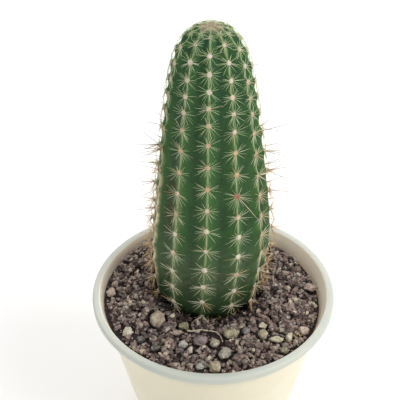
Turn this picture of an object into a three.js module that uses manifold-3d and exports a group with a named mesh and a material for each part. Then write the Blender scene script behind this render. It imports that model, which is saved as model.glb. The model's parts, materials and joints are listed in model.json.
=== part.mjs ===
// A tall ribbed cactus growing in a round plastic pot of gritty soil.
// Millimetres, +Z up, origin at the centre of the pot's underside.
// Azimuths are in degrees round the stem: 0 faces -Y, and 90 faces +X.

import * as THREE from 'three';
import { ConvexGeometry } from 'three/addons/geometries/ConvexGeometry.js';
import { mergeVertices } from 'three/addons/utils/BufferGeometryUtils.js';
import Module from 'manifold-3d';

// ---------- driving dimensions ----------

const GAP = 0.3; // clearance between pieces that touch

const RIM_RADIUS = 70; // a 14 cm pot
const POT_HEIGHT = 115;
const LIP_WIDTH = 4.1; // flat ring on top of the rim
const LIP_HEIGHT = 3.8; // rolled edge of the rim
const COLLAR_HEIGHT = 8.6; // from the top of the rim down to the step
const WALL = 1.1; // moulded plastic
const STEP_IN = 3.2; // how far the outside steps in below the collar
const TAPER = 11; // degrees, wall of the pot from upright
const FOOT_HEIGHT = 3; // ring that the pot stands on
const FOOT_WIDTH = 3.5;
const FLOOR = 1.6; // thickness of the pot's floor
const DRAIN_RADIUS = 4.5;
const DRAIN_CIRCLE = 26; // radius that the drain holes lie on
const DRAIN_HOLES = 6;
const POT_SIDES = 60;

const SOIL_DROP = 6; // soil surface below the rim
const SOIL_Z = POT_HEIGHT - SOIL_DROP;
const SOIL_FALL = 0.033; // fall of the surface for each step towards +X
const GRIT_SIZE = 4.6; // spacing of the lumps on the soil
const GRIT_RELIEF = 1; // how far a lump rises or falls
const SOIL_SWELL = 0.6; // slow rise and fall of the soil surface

const STEM_HEIGHT = 165; // soil to crown
const STEM_RADIUS = 33.3; // over the crests, at the widest
const WIDEST = 40; // height of the widest place above the soil
const FOOT_SHARE = 0.122; // share of the radius lost from there down to the soil
const CROWN_SHARE = 0.52; // and from there up to the crown
const TUCK = 4.5; // how far the foot of the stem draws in under it, down to the soil
const TUCK_HEIGHT = 8; // height at which it starts to
const BURIED = 20; // depth of the stem below the soil
const STEM_X = -3.2; // where the stem leaves the soil
const STEM_Y = 8;
const LEAN = 2.4; // sideways bow of the stem towards +X
const LEAN_HEIGHT = 64; // above this height the stem is upright again
const RIBS = 12;
const FRONT_RIBS = [-72, -38, -6, 25, 55, 83]; // azimuths of the uneven ribs
const TWIST = 4; // degrees that the ribs turn from soil to crown
const RIB_DEPTH = 0.13; // depth of the grooves over the crest radius
const RIB_FADE = [2, 20]; // heights between which the grooves reach their full depth
const SHOULDER = 0.24; // edge of the rib's crest, from crest 0 to groove 1

const FIRST_AREOLE = [9.8, 13.8]; // distance from the crown, even and odd ribs
const YOUNG_STEP = 8.3; // spacing of areoles near the crown
const OLD_STEP = 12.3; // and further down
const STEP_CHANGE = [37, 67]; // distances from the crown between which it widens
const AREOLES = 15; // on each rib
const PAD_HEIGHT = 1.1;
const PAD_RADIUS = 1.7;
const NOTCH = 0.35; // dip in the crest above each areole

const SPINE_RADIUS = 0.36;
const SPINE_ROOT = 1.1; // length of a spine inside the stem
const SHORT_SPINE = 4.4; // side spines near the crown
const LONG_SPINE = 7; // side spines near the soil
const UPPER_SHARE = 0.75; // length of the one that points up, as a share of the side spines
const CENTRAL_SPINE = 11; // the long spine of some areoles
const CENTRAL_TOP = 0.62; // none above this share of the height
const CROWN_SPINES = 14;
const CROWN_RINGS = [5.4, 3.2]; // radii that they stand on in turn
const SPINE_CLEARANCE = 2.2; // lowest spine tip above the soil

const ROOTLET_RADIUS = 0.5;
const STONE_POINTS = 13; // corners that a stone is wrapped over
const STONE_RISE = 0.12; // middle of a stone above the soil, as a share of its height

const COLOURS = {
  pot: '#e6e4d2',
  soil: '#54443e',
  stem: '#2f6a45',
  rootlet: '#c9b79c',
  mauve: '#7b6a6c',
  grey: '#8a8783',
  cream: '#d3c8ae',
  pink: '#c0a096',
  olive: '#9a9172',
};

// Larger stones on the soil: place of the middle, then length, width and height,
// the azimuth that the length is turned to, and the kind of stone.
const STONES = [
  ['stone_block', -31.3, -22.8, 12.2, 8.4, 8.6, 70, 'pink'],
  ['stone_left', -47.3, -33.3, 7, 5.8, 5, 80, 'cream'],
  ['stone_olive', -16.2, -27.2, 6.2, 5, 4.6, 10, 'olive'],
  ['stone_flat', -19.8, -32.2, 6.4, 3.6, 3, 5, 'pink'],
  ['stone_mauve', -7, -38.4, 8.6, 7.2, 5, 25, 'mauve'],
  ['stone_mid', 0.9, -39.8, 5.6, 5.2, 4.6, 60, 'cream'],
  ['stone_pale', -16.5, -41.2, 5, 4.6, 4, 0, 'grey'],
  ['stone_thin', -12.5, -45.3, 5.6, 3.2, 3.6, 80, 'cream'],
  ['stone_clod', 6.5, -47.1, 8.2, 6.6, 4.6, 50, 'grey'],
  ['stone_front', 1.3, -57, 7.2, 6.6, 5.6, 20, 'cream'],
  ['stone_white', -6.9, -56.8, 4.6, 4, 3.8, 0, 'grey'],
  ['stone_rough', 9.9, -32.2, 9.6, 6.2, 5, 5, 'olive'],
  ['stone_blue', 18.5, -29.9, 4.8, 4.6, 4, 40, 'grey'],
  ['stone_right', 27.7, -32.2, 6.2, 5.8, 5, 30, 'cream'],
  ['stone_beside', 27.9, -25.2, 4.8, 4, 3.6, 20, 'cream'],
  ['stone_long', 34.8, -35.6, 8.4, 3.8, 3.8, -4, 'cream'],
  ['stone_upright', 42.2, -33.8, 6, 3.8, 4.4, 70, 'cream'],
  ['stone_pink', 50.6, -28.4, 6.2, 6, 5, 15, 'pink'],
  ['stone_yellow', 39, -43.5, 5.2, 4, 3.6, 20, 'olive'],
  ['stone_slab', 58, 7.4, 9.4, 5.4, 4.2, -8, 'pink'],
  ['stone_brown', 50.7, 22.9, 6.8, 5, 4.6, -20, 'mauve'],
  ['stone_wall', -59.5, -1.5, 7, 5.2, 5, 85, 'pink'],
  ['stone_edge', -58, 6, 4.6, 4.2, 4, 30, 'pink'],
  ['stone_slate', -31.5, -43.9, 6.2, 5.2, 3.6, 20, 'grey'],
  ['stone_side', -39.5, -38.3, 4.8, 4.6, 4, 50, 'mauve'],
  ['stone_back_a', -34, 38, 6.8, 5.4, 4.8, 30, 'mauve'],
  ['stone_back_b', -12, 51, 5.6, 5, 4.2, 75, 'cream'],
  ['stone_back_c', 13, 50, 7, 5.2, 4.8, 10, 'pink'],
  ['stone_back_d', 33, 41, 5.2, 4.4, 4, 55, 'grey'],
];

// Where the dry rootlet runs over the soil.
const ROOTLET_PATH = [
  [-14.4, -31.1], [-11.1, -31.1], [-6.9, -30.1], [-2.6, -30.5], [1.6, -31.5], [4.1, -34.5], [5.4, -39],
];

// ---------- helpers ----------

const wasm = await Module();
wasm.setup();

const radians = THREE.MathUtils.degToRad;
const smoothstep = THREE.MathUtils.smoothstep;
const lerp = THREE.MathUtils.lerp;
const clamp = THREE.MathUtils.clamp;
const GOLDEN_ANGLE = Math.PI * (3 - Math.sqrt(5)); // spreads points evenly as they wind round

// Repeatable random numbers from 0 to 1.
function seeded(seed) {
  let state = seed;
  return () => {
    state = (state * 1664525 + 1013904223) % 4294967296;
    return state / 4294967296;
  };
}

// Horizontal unit vector that points to an azimuth.
function outward(azimuth) {
  return new THREE.Vector3(Math.sin(radians(azimuth)), -Math.cos(radians(azimuth)), 0);
}

function toSolid(geometry) {
  const bare = geometry.clone();
  bare.deleteAttribute('normal');
  bare.deleteAttribute('uv');
  const merged = mergeVertices(bare, 1e-4);
  const vertProperties = new Float32Array(merged.attributes.position.array);
  const triVerts = new Uint32Array(merged.index.array);
  return new wasm.Manifold(new wasm.Mesh({ numProp: 3, vertProperties, triVerts }));
}

function toGeometry(solid) {
  const mesh = solid.getMesh();
  const geometry = new THREE.BufferGeometry();
  geometry.setAttribute('position', new THREE.BufferAttribute(mesh.vertProperties, 3));
  geometry.setIndex(new THREE.BufferAttribute(mesh.triVerts, 1));
  return geometry;
}

// A closed skin over a grid of rings, from the bottom pole to the top pole.
// point(row, column) gives a place on ring row, and bottom and top are the poles.
function ringSkin(rows, columns, point, bottom, top) {
  const places = [bottom];
  for (let row = 0; row < rows; row++) {
    for (let column = 0; column < columns; column++) places.push(point(row, column));
  }
  places.push(top);
  const last = places.length - 1;
  const at = (row, column) => 1 + row * columns + (column % columns);
  const faces = [];
  for (let column = 0; column < columns; column++) {
    faces.push([0, at(0, column + 1), at(0, column)]);
    for (let row = 0; row < rows - 1; row++) {
      const [a, b] = [at(row, column), at(row, column + 1)];
      const [c, d] = [at(row + 1, column), at(row + 1, column + 1)];
      faces.push([a, b, d], [a, d, c]);
    }
    faces.push([at(rows - 1, column), at(rows - 1, column + 1), last]);
  }
  return { places, faces, rows, columns };
}

// Number of one of the two faces between a place on the grid and the next row and column.
function faceAt(skin, row, column, half) {
  const wrapped = (column + skin.columns) % skin.columns;
  return wrapped * 2 * skin.rows + 1 + 2 * row + half;
}

function skinGeometry(skin) {
  const geometry = new THREE.BufferGeometry();
  const positions = skin.places.flatMap((place) => place.toArray());
  geometry.setAttribute('position', new THREE.Float32BufferAttribute(positions, 3));
  geometry.setIndex(skin.faces.flat());
  return geometry;
}

function part(name, geometry, colour, roughness) {
  const material = new THREE.MeshStandardMaterial({ color: colour, roughness, metalness: 0 });
  const mesh = new THREE.Mesh(geometry, material);
  mesh.name = name;
  return mesh;
}

// ---------- pot ----------

const COLLAR_RADIUS = RIM_RADIUS - LIP_WIDTH + WALL;
const STEP_Z = POT_HEIGHT - COLLAR_HEIGHT;
const BODY_RADIUS = COLLAR_RADIUS - STEP_IN;

const INNER_RADIUS = RIM_RADIUS - LIP_WIDTH;
const INNER_TOP = POT_HEIGHT - 0.9; // the lip's inner edge is rounded above this
const INNER_KINK = STEP_Z - 1.6; // the inside flares from here up to the rim

// Outer radius of the tapered wall at a height below the step.
function wallRadius(z) {
  return BODY_RADIUS - (STEP_Z - z) * Math.tan(radians(TAPER));
}

// Inner radius of the pot at a height.
function innerRadius(z) {
  const kinkRadius = wallRadius(INNER_KINK) - WALL;
  if (z < INNER_KINK) return wallRadius(z) - WALL;
  return lerp(kinkRadius, INNER_RADIUS, Math.min((z - INNER_KINK) / (INNER_TOP - INNER_KINK), 1));
}

function potProfile() {
  const foot = wallRadius(0);
  const lipBottom = POT_HEIGHT - LIP_HEIGHT;
  const floor = FOOT_HEIGHT + FLOOR;
  return [
    [0, FOOT_HEIGHT],
    [foot - FOOT_WIDTH, FOOT_HEIGHT],
    [foot - FOOT_WIDTH, 0],
    [foot, 0],
    [wallRadius(STEP_Z - 1), STEP_Z - 1],
    [COLLAR_RADIUS - 0.3, STEP_Z],
    [COLLAR_RADIUS, lipBottom],
    [RIM_RADIUS - 0.5, lipBottom],
    [RIM_RADIUS, lipBottom + 0.8],
    [RIM_RADIUS, POT_HEIGHT - 1.5],
    [RIM_RADIUS - 0.6, POT_HEIGHT - 0.4],
    [RIM_RADIUS - 1.8, POT_HEIGHT],
    [INNER_RADIUS + 1, POT_HEIGHT],
    [INNER_RADIUS, INNER_TOP],
    [innerRadius(INNER_KINK), INNER_KINK],
    [innerRadius(floor), floor],
    [0, floor],
  ].map(([radius, z]) => new THREE.Vector2(radius, z));
}

function drainHole(azimuth) {
  const hole = new THREE.CylinderGeometry(DRAIN_RADIUS, DRAIN_RADIUS, 4 * FLOOR, 12);
  hole.rotateX(Math.PI / 2);
  const place = outward(azimuth).multiplyScalar(DRAIN_CIRCLE);
  hole.translate(place.x, place.y, FOOT_HEIGHT + FLOOR / 2);
  return toSolid(hole);
}

function pot() {
  const shell = new THREE.LatheGeometry(potProfile(), POT_SIDES);
  shell.rotateX(Math.PI / 2);
  let solid = toSolid(shell);
  for (let hole = 0; hole < DRAIN_HOLES; hole++) {
    solid = solid.subtract(drainHole(360 * hole / DRAIN_HOLES));
  }
  return toGeometry(solid);
}

// ---------- soil level ----------

// Height of the soil's surface over a place, without its lumps.
function soilLevel(x) {
  return SOIL_Z - SOIL_FALL * x;
}

// ---------- stem ----------

// Radius over the crests at a height above the soil. The stem narrows gently downwards, tucks in
// under itself at the foot, tapers above its widest place, and closes in a blunt dome.
function crestRadius(height) {
  if (height < WIDEST) {
    const down = (WIDEST - height) / WIDEST;
    const under = clamp(1 - height / TUCK_HEIGHT, 0, 1);
    return STEM_RADIUS * (1 - FOOT_SHARE * down ** 1.6) - TUCK * under ** 3;
  }
  const up = (height - WIDEST) / (STEM_HEIGHT - WIDEST);
  return STEM_RADIUS * (1 - CROWN_SHARE * up ** 1.3) * Math.max(0, 1 - up ** 14) ** 0.4;
}

// Middle of the stem at a height above the soil.
function stemAxis(height) {
  const bow = smoothstep(height, 0, LEAN_HEIGHT) * LEAN;
  return new THREE.Vector3(STEM_X + bow, STEM_Y, SOIL_Z + height);
}

// Heights and distances down a crest from the crown, in small steps.
function crestTable() {
  const steps = 600;
  const table = [{ distance: 0, height: STEM_HEIGHT }];
  for (let step = 1; step <= steps; step++) {
    const last = table[step - 1];
    const height = STEM_HEIGHT * (1 - (step / steps) ** 2.2);
    const run = crestRadius(height) - crestRadius(last.height);
    table.push({ distance: last.distance + Math.hypot(run, height - last.height), height });
  }
  return table;
}
const CREST = crestTable();

function heightAt(distance) {
  const after = CREST.findIndex((entry) => entry.distance >= distance);
  if (after < 1) return after === 0 ? STEM_HEIGHT : 0;
  const [a, b] = [CREST[after - 1], CREST[after]];
  return lerp(a.height, b.height, (distance - a.distance) / (b.distance - a.distance));
}

// Azimuth of each rib at the soil: the front ones are uneven, the rest share what is left.
function ribAzimuths() {
  const ribs = [...FRONT_RIBS];
  const from = FRONT_RIBS[FRONT_RIBS.length - 1];
  const room = 360 - (from - FRONT_RIBS[0]);
  const left = RIBS - FRONT_RIBS.length + 1;
  for (let rib = 1; rib < left; rib++) ribs.push(from + room * rib / left);
  return ribs;
}
const AZIMUTHS = ribAzimuths();

function ribAzimuth(rib, height) {
  const turns = Math.floor(rib / RIBS);
  return AZIMUTHS[rib - turns * RIBS] + 360 * turns + TWIST * height / STEM_HEIGHT;
}

// Distances of a rib's areoles from the crown, from the soil up.
function areoleDistances(rib) {
  const distances = [];
  let distance = FIRST_AREOLE[rib % 2];
  for (let areole = 0; areole < AREOLES; areole++) {
    distances.unshift(distance);
    distance += lerp(YOUNG_STEP, OLD_STEP, smoothstep(distance, ...STEP_CHANGE));
  }
  return distances;
}
const AREOLE_DISTANCES = AZIMUTHS.map((_, rib) => areoleDistances(rib));

// How much a crest's profile faces up at a height: rise for each step outward.
function facingUp(height) {
  return crestRadius(height - 0.5) - crestRadius(height + 0.5);
}

// A place on the stem's skin, lifted square off it. across runs from 0 at a crest to 1 in the groove.
function skinPoint(azimuth, height, across, lift) {
  const groove = RIB_DEPTH * smoothstep(height, ...RIB_FADE);
  const depth = groove * Math.sin(across * Math.PI / 2) ** 1.15;
  const rise = facingUp(height);
  const share = lift / Math.hypot(1, rise);
  const radius = crestRadius(height) * (1 - depth) + share;
  return stemAxis(height).add(outward(azimuth).multiplyScalar(radius).setZ(share * rise));
}

// Rows of the skin: some in the soil and under the foot, then three to each areole,
// below, on and above it.
const FOOT_LEVELS = [-0.7 * BURIED, -0.35 * BURIED, -0.5, 2.5];
const ROWS_PER_AREOLE = 3;

function rowHeight(rib, row) {
  if (row < FOOT_LEVELS.length) return FOOT_LEVELS[row];
  const distances = AREOLE_DISTANCES[((rib % RIBS) + RIBS) % RIBS];
  const areole = Math.floor((row - FOOT_LEVELS.length) / ROWS_PER_AREOLE);
  const side = (row - FOOT_LEVELS.length) % ROWS_PER_AREOLE - 1;
  return heightAt(distances[areole] - side * PAD_RADIUS);
}

// The ribbed skin, grown by swell all round. Columns go crest, shoulder, groove, shoulder.
function stemSkin(swell) {
  const rows = FOOT_LEVELS.length + AREOLES * ROWS_PER_AREOLE;
  const columns = RIBS * 4;
  const point = (row, column) => {
    const rib = Math.floor(column / 4);
    const place = [0, SHOULDER / 2, 0.5, 1 - SHOULDER / 2][column % 4];
    const height = lerp(rowHeight(rib, row), rowHeight(rib + 1, row), place);
    const azimuth = lerp(ribAzimuth(rib, height), ribAzimuth(rib + 1, height), place);
    const across = 1 - Math.abs(1 - 2 * place);
    const side = (row - FOOT_LEVELS.length) % ROWS_PER_AREOLE;
    const onCrest = column % 4 === 0 && row >= FOOT_LEVELS.length;
    const lift = onCrest ? [0, PAD_HEIGHT, -NOTCH][side] : 0;
    return skinPoint(azimuth, height, across, lift + swell);
  };
  const top = stemAxis(STEM_HEIGHT + swell);
  return ringSkin(rows, columns, point, stemAxis(-BURIED - 2 - swell), top);
}

// Draws a three-sided spine out of the middle of one face of a skin.
function growSpine(skin, face, direction, length) {
  const corners = skin.faces[face];
  const middle = new THREE.Vector3();
  corners.forEach((corner) => middle.addScaledVector(skin.places[corner], 1 / 3));
  const first = skin.places.length;
  corners.forEach((corner) => {
    const spoke = skin.places[corner].clone().sub(middle);
    skin.places.push(spoke.setLength(Math.min(SPINE_RADIUS, 0.4 * spoke.length())).add(middle));
  });
  const tip = skin.places.push(middle.clone().addScaledVector(direction, length)) - 1;
  skin.faces.splice(face, 1, [first, first + 1, tip]);
  skin.faces.push([first + 1, first + 2, tip], [first + 2, first, tip]);
  corners.forEach((corner, n) => {
    const next = (n + 1) % 3;
    skin.faces.push([corner, corners[next], first + next], [corner, first + next, first + n]);
  });
}

// Keeps a spine's tip above the soil by turning it up.
function clearOfSoil(foot, direction, length) {
  const lowest = soilLevel(foot.x + length * direction.x) + SPINE_CLEARANCE;
  const rise = Math.max(direction.z, (lowest - foot.z) / length);
  const flat = new THREE.Vector3(direction.x, direction.y, 0).setLength(Math.sqrt(1 - rise * rise));
  return flat.setZ(rise);
}

// The spines of one areole: one to each side, one down the rib, a shorter one up, and on some
// a long one.
function areoleSpines(skin, rib, areole, random) {
  const row = FOOT_LEVELS.length + areole * ROWS_PER_AREOLE + 1;
  const column = 4 * rib;
  const height = heightAt(AREOLE_DISTANCES[rib][areole]);
  const azimuth = ribAzimuth(rib, height);
  const out = outward(azimuth);
  const side = outward(azimuth + 90);
  const rise = facingUp(height);
  const up = new THREE.Vector3(0, 0, 1).addScaledVector(out, -rise).normalize();
  const normal = out.clone().setZ(rise).normalize();
  const reach = lerp(LONG_SPINE, SHORT_SPINE, height / STEM_HEIGHT);
  const lower = random() < 0.5 ? faceAt(skin, row - 1, column, 1) : faceAt(skin, row - 1, column - 1, 0);
  const ways = [
    [faceAt(skin, row - 1, column - 1, 1), -0.88, -0.12, 0.42, reach],
    [faceAt(skin, row, column, 0), 0.88, -0.02, 0.42, reach],
    [lower, 0, -0.86, 0.5, reach],
    [faceAt(skin, row, column - 1, 0), -0.5, 0.6, 0.6, UPPER_SHARE * reach],
  ];
  if ((areole + rib) % 3 === 1 && height < CENTRAL_TOP * STEM_HEIGHT) {
    ways.push([faceAt(skin, row, column, 1), 0, 0.2, 1, CENTRAL_SPINE]);
  }
  ways.forEach(([face, across, along, away, long]) => {
    const wander = () => (random() - 0.5) * 0.36;
    const direction = side.clone().multiplyScalar(across + wander());
    direction.addScaledVector(up, along + wander()).addScaledVector(normal, away + wander() / 2);
    const length = long * (0.85 + 0.3 * random());
    const foot = skin.places[skin.faces[face][0]];
    growSpine(skin, face, clearOfSoil(foot, direction.normalize(), length), length);
  });
}

// A young spine that stands up near the middle of the crown.
function crownSpine(index, random) {
  const azimuth = 360 * index / CROWN_SPINES + 12 * random();
  const ring = CROWN_RINGS[index % 2];
  const height = STEM_HEIGHT - 0.03 * ring * ring - 0.8;
  const foot = stemAxis(height).addScaledVector(outward(azimuth), ring);
  const direction = outward(azimuth).multiplyScalar(0.1 + 0.05 * ring).setZ(1).normalize();
  const length = 2.4 + random();
  const needle = new THREE.ConeGeometry(SPINE_RADIUS, length + SPINE_ROOT, 3);
  needle.translate(0, (length - SPINE_ROOT) / 2, 0);
  needle.applyQuaternion(new THREE.Quaternion().setFromUnitVectors(new THREE.Vector3(0, 1, 0), direction));
  needle.translate(foot.x, foot.y, foot.z);
  return toSolid(needle);
}

function cactus() {
  const random = seeded(20);
  const skin = stemSkin(0);
  for (let rib = 0; rib < RIBS; rib++) {
    for (let areole = 0; areole < AREOLES; areole++) areoleSpines(skin, rib, areole, random);
  }
  let solid = toSolid(skinGeometry(skin));
  for (let index = 0; index < CROWN_SPINES; index++) solid = solid.add(crownSpine(index, random));
  return toGeometry(solid);
}

// ---------- stones, rootlet and soil ----------

// A stone with flat faces: points on a lumpy ellipsoid, wrapped tightly. swell grows it all round.
function stone(entry, index, swell) {
  const [, x, y, length, width, height, azimuth] = entry;
  const random = seeded(300 + index);
  const points = [];
  for (let n = 0; n < STONE_POINTS; n++) {
    const level = 1 - 2 * (n + 0.5) / STONE_POINTS;
    const angle = n * GOLDEN_ANGLE + random();
    const ring = Math.sqrt(1 - level * level);
    const size = 0.96 + 0.16 * random();
    points.push(new THREE.Vector3(
      ring * Math.cos(angle) * (length / 2 * size + swell),
      ring * Math.sin(angle) * (width / 2 * size + swell),
      level * (height / 2 * size + swell),
    ));
  }
  const geometry = new ConvexGeometry(points);
  geometry.rotateZ(radians(azimuth));
  geometry.translate(x, y, soilLevel(x) + STONE_RISE * height);
  return geometry;
}

function rootlet(swell) {
  const path = new THREE.CatmullRomCurve3(
    ROOTLET_PATH.map(([x, y]) => new THREE.Vector3(x, y, soilLevel(x) + ROOTLET_RADIUS)),
  );
  const radius = ROOTLET_RADIUS + swell;
  const section = new THREE.Shape();
  section.moveTo(radius, 0);
  for (let corner = 1; corner < 6; corner++) {
    section.lineTo(radius * Math.cos(corner * Math.PI / 3), radius * Math.sin(corner * Math.PI / 3));
  }
  section.closePath();
  return new THREE.ExtrudeGeometry(section, { steps: 16, bevelEnabled: false, extrudePath: path });
}

// The soil fills the pot up to the wall. Its surface is a field of small lumps.
function soilBlock() {
  const random = seeded(7);
  const inside = (z) => innerRadius(z) - GAP;
  const wallLevels = [FOOT_HEIGHT + FLOOR + GAP, INNER_KINK]; // heights of the rows on the wall
  const edge = inside(SOIL_Z);
  const inner = crestRadius(0) * 0.8;
  const rings = Math.round((edge - inner) / GRIT_SIZE);
  const surface = (row, azimuth) => {
    const lump = (random() * 2 - 1) * GRIT_RELIEF;
    if (row === 0) {
      const z = soilLevel(edge * outward(azimuth).x) + lump;
      return outward(azimuth).multiplyScalar(inside(z)).setZ(z);
    }
    const radius = lerp(edge, inner, row / rings) + (random() - 0.5) * GRIT_SIZE * 0.4;
    const place = outward(azimuth + (random() - 0.5) * 3).multiplyScalar(radius);
    const swell = SOIL_SWELL * Math.sin(place.x / 13 + 1) * Math.cos(place.y / 16);
    return place.setZ(soilLevel(place.x) + lump + swell);
  };
  const point = (row, column) => {
    const azimuth = 360 * column / POT_SIDES;
    if (row >= wallLevels.length) return surface(row - wallLevels.length, azimuth);
    return outward(azimuth).multiplyScalar(inside(wallLevels[row])).setZ(wallLevels[row]);
  };
  const bottom = new THREE.Vector3(0, 0, wallLevels[0]);
  const top = new THREE.Vector3(0, 0, SOIL_Z);
  const rows = wallLevels.length + rings + 1;
  return toSolid(skinGeometry(ringSkin(rows, POT_SIDES, point, bottom, top)));
}

function soil() {
  let solid = soilBlock().subtract(toSolid(skinGeometry(stemSkin(GAP))));
  solid = solid.subtract(toSolid(rootlet(GAP)));
  STONES.forEach((entry, index) => {
    solid = solid.subtract(toSolid(stone(entry, index, GAP)));
  });
  return toGeometry(solid);
}

// ---------- the whole plant ----------

const plant = new THREE.Group();
plant.add(part('pot', pot(), COLOURS.pot, 0.45));
plant.add(part('soil', soil(), COLOURS.soil, 0.95));
plant.add(part('cactus', cactus(), COLOURS.stem, 0.6));
plant.add(part('rootlet', rootlet(0), COLOURS.rootlet, 0.8));
STONES.forEach((entry, index) => {
  plant.add(part(entry[0], stone(entry, index, 0), COLOURS[entry[7]], 0.9));
});

export default plant;
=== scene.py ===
import itertools
import json
import math

import bpy
import numpy as np
from mathutils import Matrix, Vector


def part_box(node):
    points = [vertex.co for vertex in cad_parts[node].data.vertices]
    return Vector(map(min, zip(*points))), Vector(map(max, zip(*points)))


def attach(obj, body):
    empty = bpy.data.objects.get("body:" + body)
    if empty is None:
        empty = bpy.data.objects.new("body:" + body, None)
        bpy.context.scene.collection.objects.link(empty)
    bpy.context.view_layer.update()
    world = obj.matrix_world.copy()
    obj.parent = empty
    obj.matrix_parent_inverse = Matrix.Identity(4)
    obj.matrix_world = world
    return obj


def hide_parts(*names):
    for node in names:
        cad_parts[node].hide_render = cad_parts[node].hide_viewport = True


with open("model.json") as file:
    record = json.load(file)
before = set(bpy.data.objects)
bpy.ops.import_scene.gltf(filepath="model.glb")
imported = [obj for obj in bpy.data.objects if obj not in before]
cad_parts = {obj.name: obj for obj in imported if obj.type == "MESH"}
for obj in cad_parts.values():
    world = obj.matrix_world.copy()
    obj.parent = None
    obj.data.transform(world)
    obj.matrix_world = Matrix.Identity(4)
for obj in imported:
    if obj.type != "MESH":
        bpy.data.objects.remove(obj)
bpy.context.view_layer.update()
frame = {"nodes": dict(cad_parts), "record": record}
mm = 0.001  # shapes are worked out in millimetres and put into the meshes in metres


# A mesh from points in millimetres. faces is a list of arrays with one row of point numbers per face.
def newMesh(name, points, faces, smooth=False):
    mesh = bpy.data.meshes.new(name)
    mesh.vertices.add(len(points))
    mesh.vertices.foreach_set("co", (points * mm).astype(np.float32).ravel())
    corners = np.concatenate([part.ravel() for part in faces]).astype(np.int32)
    sides = np.concatenate([np.full(len(part), part.shape[1]) for part in faces])
    mesh.loops.add(len(corners))
    mesh.loops.foreach_set("vertex_index", corners)
    mesh.polygons.add(len(sides))
    mesh.polygons.foreach_set("loop_start", (np.cumsum(sides) - sides).astype(np.int32))
    mesh.update(calc_edges=True)
    mesh.polygons.foreach_set("use_smooth", np.full(len(sides), smooth))
    return mesh


def newObject(name, data):  # a new object in the scene, at the origin
    made = bpy.data.objects.new(name, data)
    bpy.context.collection.objects.link(made)
    return made


# Puts points and faces into a new piece that rides with the plant. marks holds one number or one
# colour for each point, which the materials read by name.
def makePiece(name, points, faces, material, nodes, marks, smooth=True):
    mesh = newMesh(name, points, faces, smooth)
    for key, values in marks.items():
        kind, field = ("FLOAT", "value") if values.ndim == 1 else ("FLOAT_COLOR", "color")
        mesh.attributes.new(key, kind, "POINT").data.foreach_set(field, values.astype(np.float32).ravel())
    mesh.materials.append(material)
    piece = newObject(name, mesh)
    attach(piece, "root")
    if nodes:
        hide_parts(*nodes)
    print("made", name, "with", sum(len(part) * (part.shape[1] - 2) for part in faces), "triangles")
    return piece


# Faces of a grid of rings that closes round its columns, between two poles.
# The first pole is point 0, the rings follow, and the last pole is the last point.
def ringFaces(rows, columns):
    around = np.arange(columns)
    after = (around + 1) % columns
    first = 1 + np.arange(rows)[:, None] * columns
    grid, beside = first + around, first + after
    quads = np.stack([grid[:-1], beside[:-1], beside[1:], grid[1:]], axis=-1).reshape(-1, 4)
    bottom = np.stack([0 * around, beside[0], grid[0]], axis=-1)
    top = np.stack([grid[-1], beside[-1], np.full(columns, rows * columns + 1)], axis=-1)
    return [quads, np.concatenate([bottom, top])]


# Faces of many copies of one small shape, numbered on from copy to copy.
def copiedFaces(faces, pointsEach, copies):
    shifts = (np.arange(copies) * pointsEach)[:, None, None]
    return [(part + shifts).reshape(-1, part.shape[1]) for part in faces]


# A number of angles evenly round a circle, in radians.
def roundAngles(count):
    return np.linspace(0, 2 * np.pi, count, endpoint=False)


def between(low, high, share):  # the value at a share of the way from low to high
    return low + (high - low) * share


# From 0 at low to 1 at high, as 3 t squared minus 2 t cubed, so that both ends run in softly.
def smoothStep(value, low, high):
    share = np.clip((value - low) / (high - low), 0, 1)
    return share * share * (3 - 2 * share)


def unit(vectors):  # vectors divided by their lengths
    return vectors / np.linalg.norm(vectors, axis=-1, keepdims=True)


# Gentle lumps: a sum of sine waves that run in random directions, from -1 to 1 or so.
def ripple(points, wavelength, waves, seed):
    random = np.random.default_rng(seed)
    ways = unit(random.normal(size=(waves, 3))) * (2 * np.pi / wavelength)
    ways *= random.uniform(0.7, 1.4, (waves, 1))
    phase = random.uniform(0, 2 * np.pi, waves)
    return np.sin(points @ ways.T + phase).sum(axis=-1) / math.sqrt(waves)


# One sRGB hex colour as the linear colour that a shader takes: the darkest values are divided by
# 12.92, and the others follow a power of 2.4.
def colour(code):
    parts = [int(code[at:at + 2], 16) / 255 for at in (1, 3, 5)]
    return [part / 12.92 if part <= 0.04045 else ((part + 0.055) / 1.055) ** 2.4 for part in parts] + [1]


# Adds a node and returns one of its outputs. Its settings and inputs go by name or number: an
# output of another node is linked, a hex code becomes a colour, and stops are a ramp's colours.
def addNode(tree, kind, inputs, output=0):
    node = tree.nodes.new("ShaderNode" + kind)
    for key, value in inputs.items():
        if isinstance(value, bpy.types.NodeSocket):
            tree.links.new(value, node.inputs[key])
        elif key == "stops":
            elements = node.color_ramp.elements
            while len(elements) < len(value):
                elements.new(0.5)
            for element, (at, code) in zip(elements, value):
                element.position, element.color = at, colour(code)
        elif isinstance(key, int) or key in node.inputs:
            node.inputs[key].default_value = colour(value) if isinstance(value, str) else value
        else:
            setattr(node, key, value)
    return node.outputs[output] if node.outputs else node


# The product, or the sum, of some terms. A term is a pattern, a mark on the mesh or the height in
# metres, and where it gives four numbers, its range from the first two is spread to the last two.
def joined(tree, sources, terms, how="MULTIPLY"):
    total = None
    for name, spread in terms.items():
        if name == "height":
            value = addNode(tree, "SeparateXYZ", {0: sources["place"]}, "Z")
        elif name in sources:
            value = sources[name]
        else:
            value = addNode(tree, "Attribute", {"attribute_name": name}, "Fac")
        if spread:
            value = addNode(tree, "MapRange", {0: value, **dict(zip((1, 2, 3, 4), spread))})
        if total is not None:
            value = addNode(tree, "Math", {"operation": how, 0: total, 1: value})
        total = value
    return total


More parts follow.
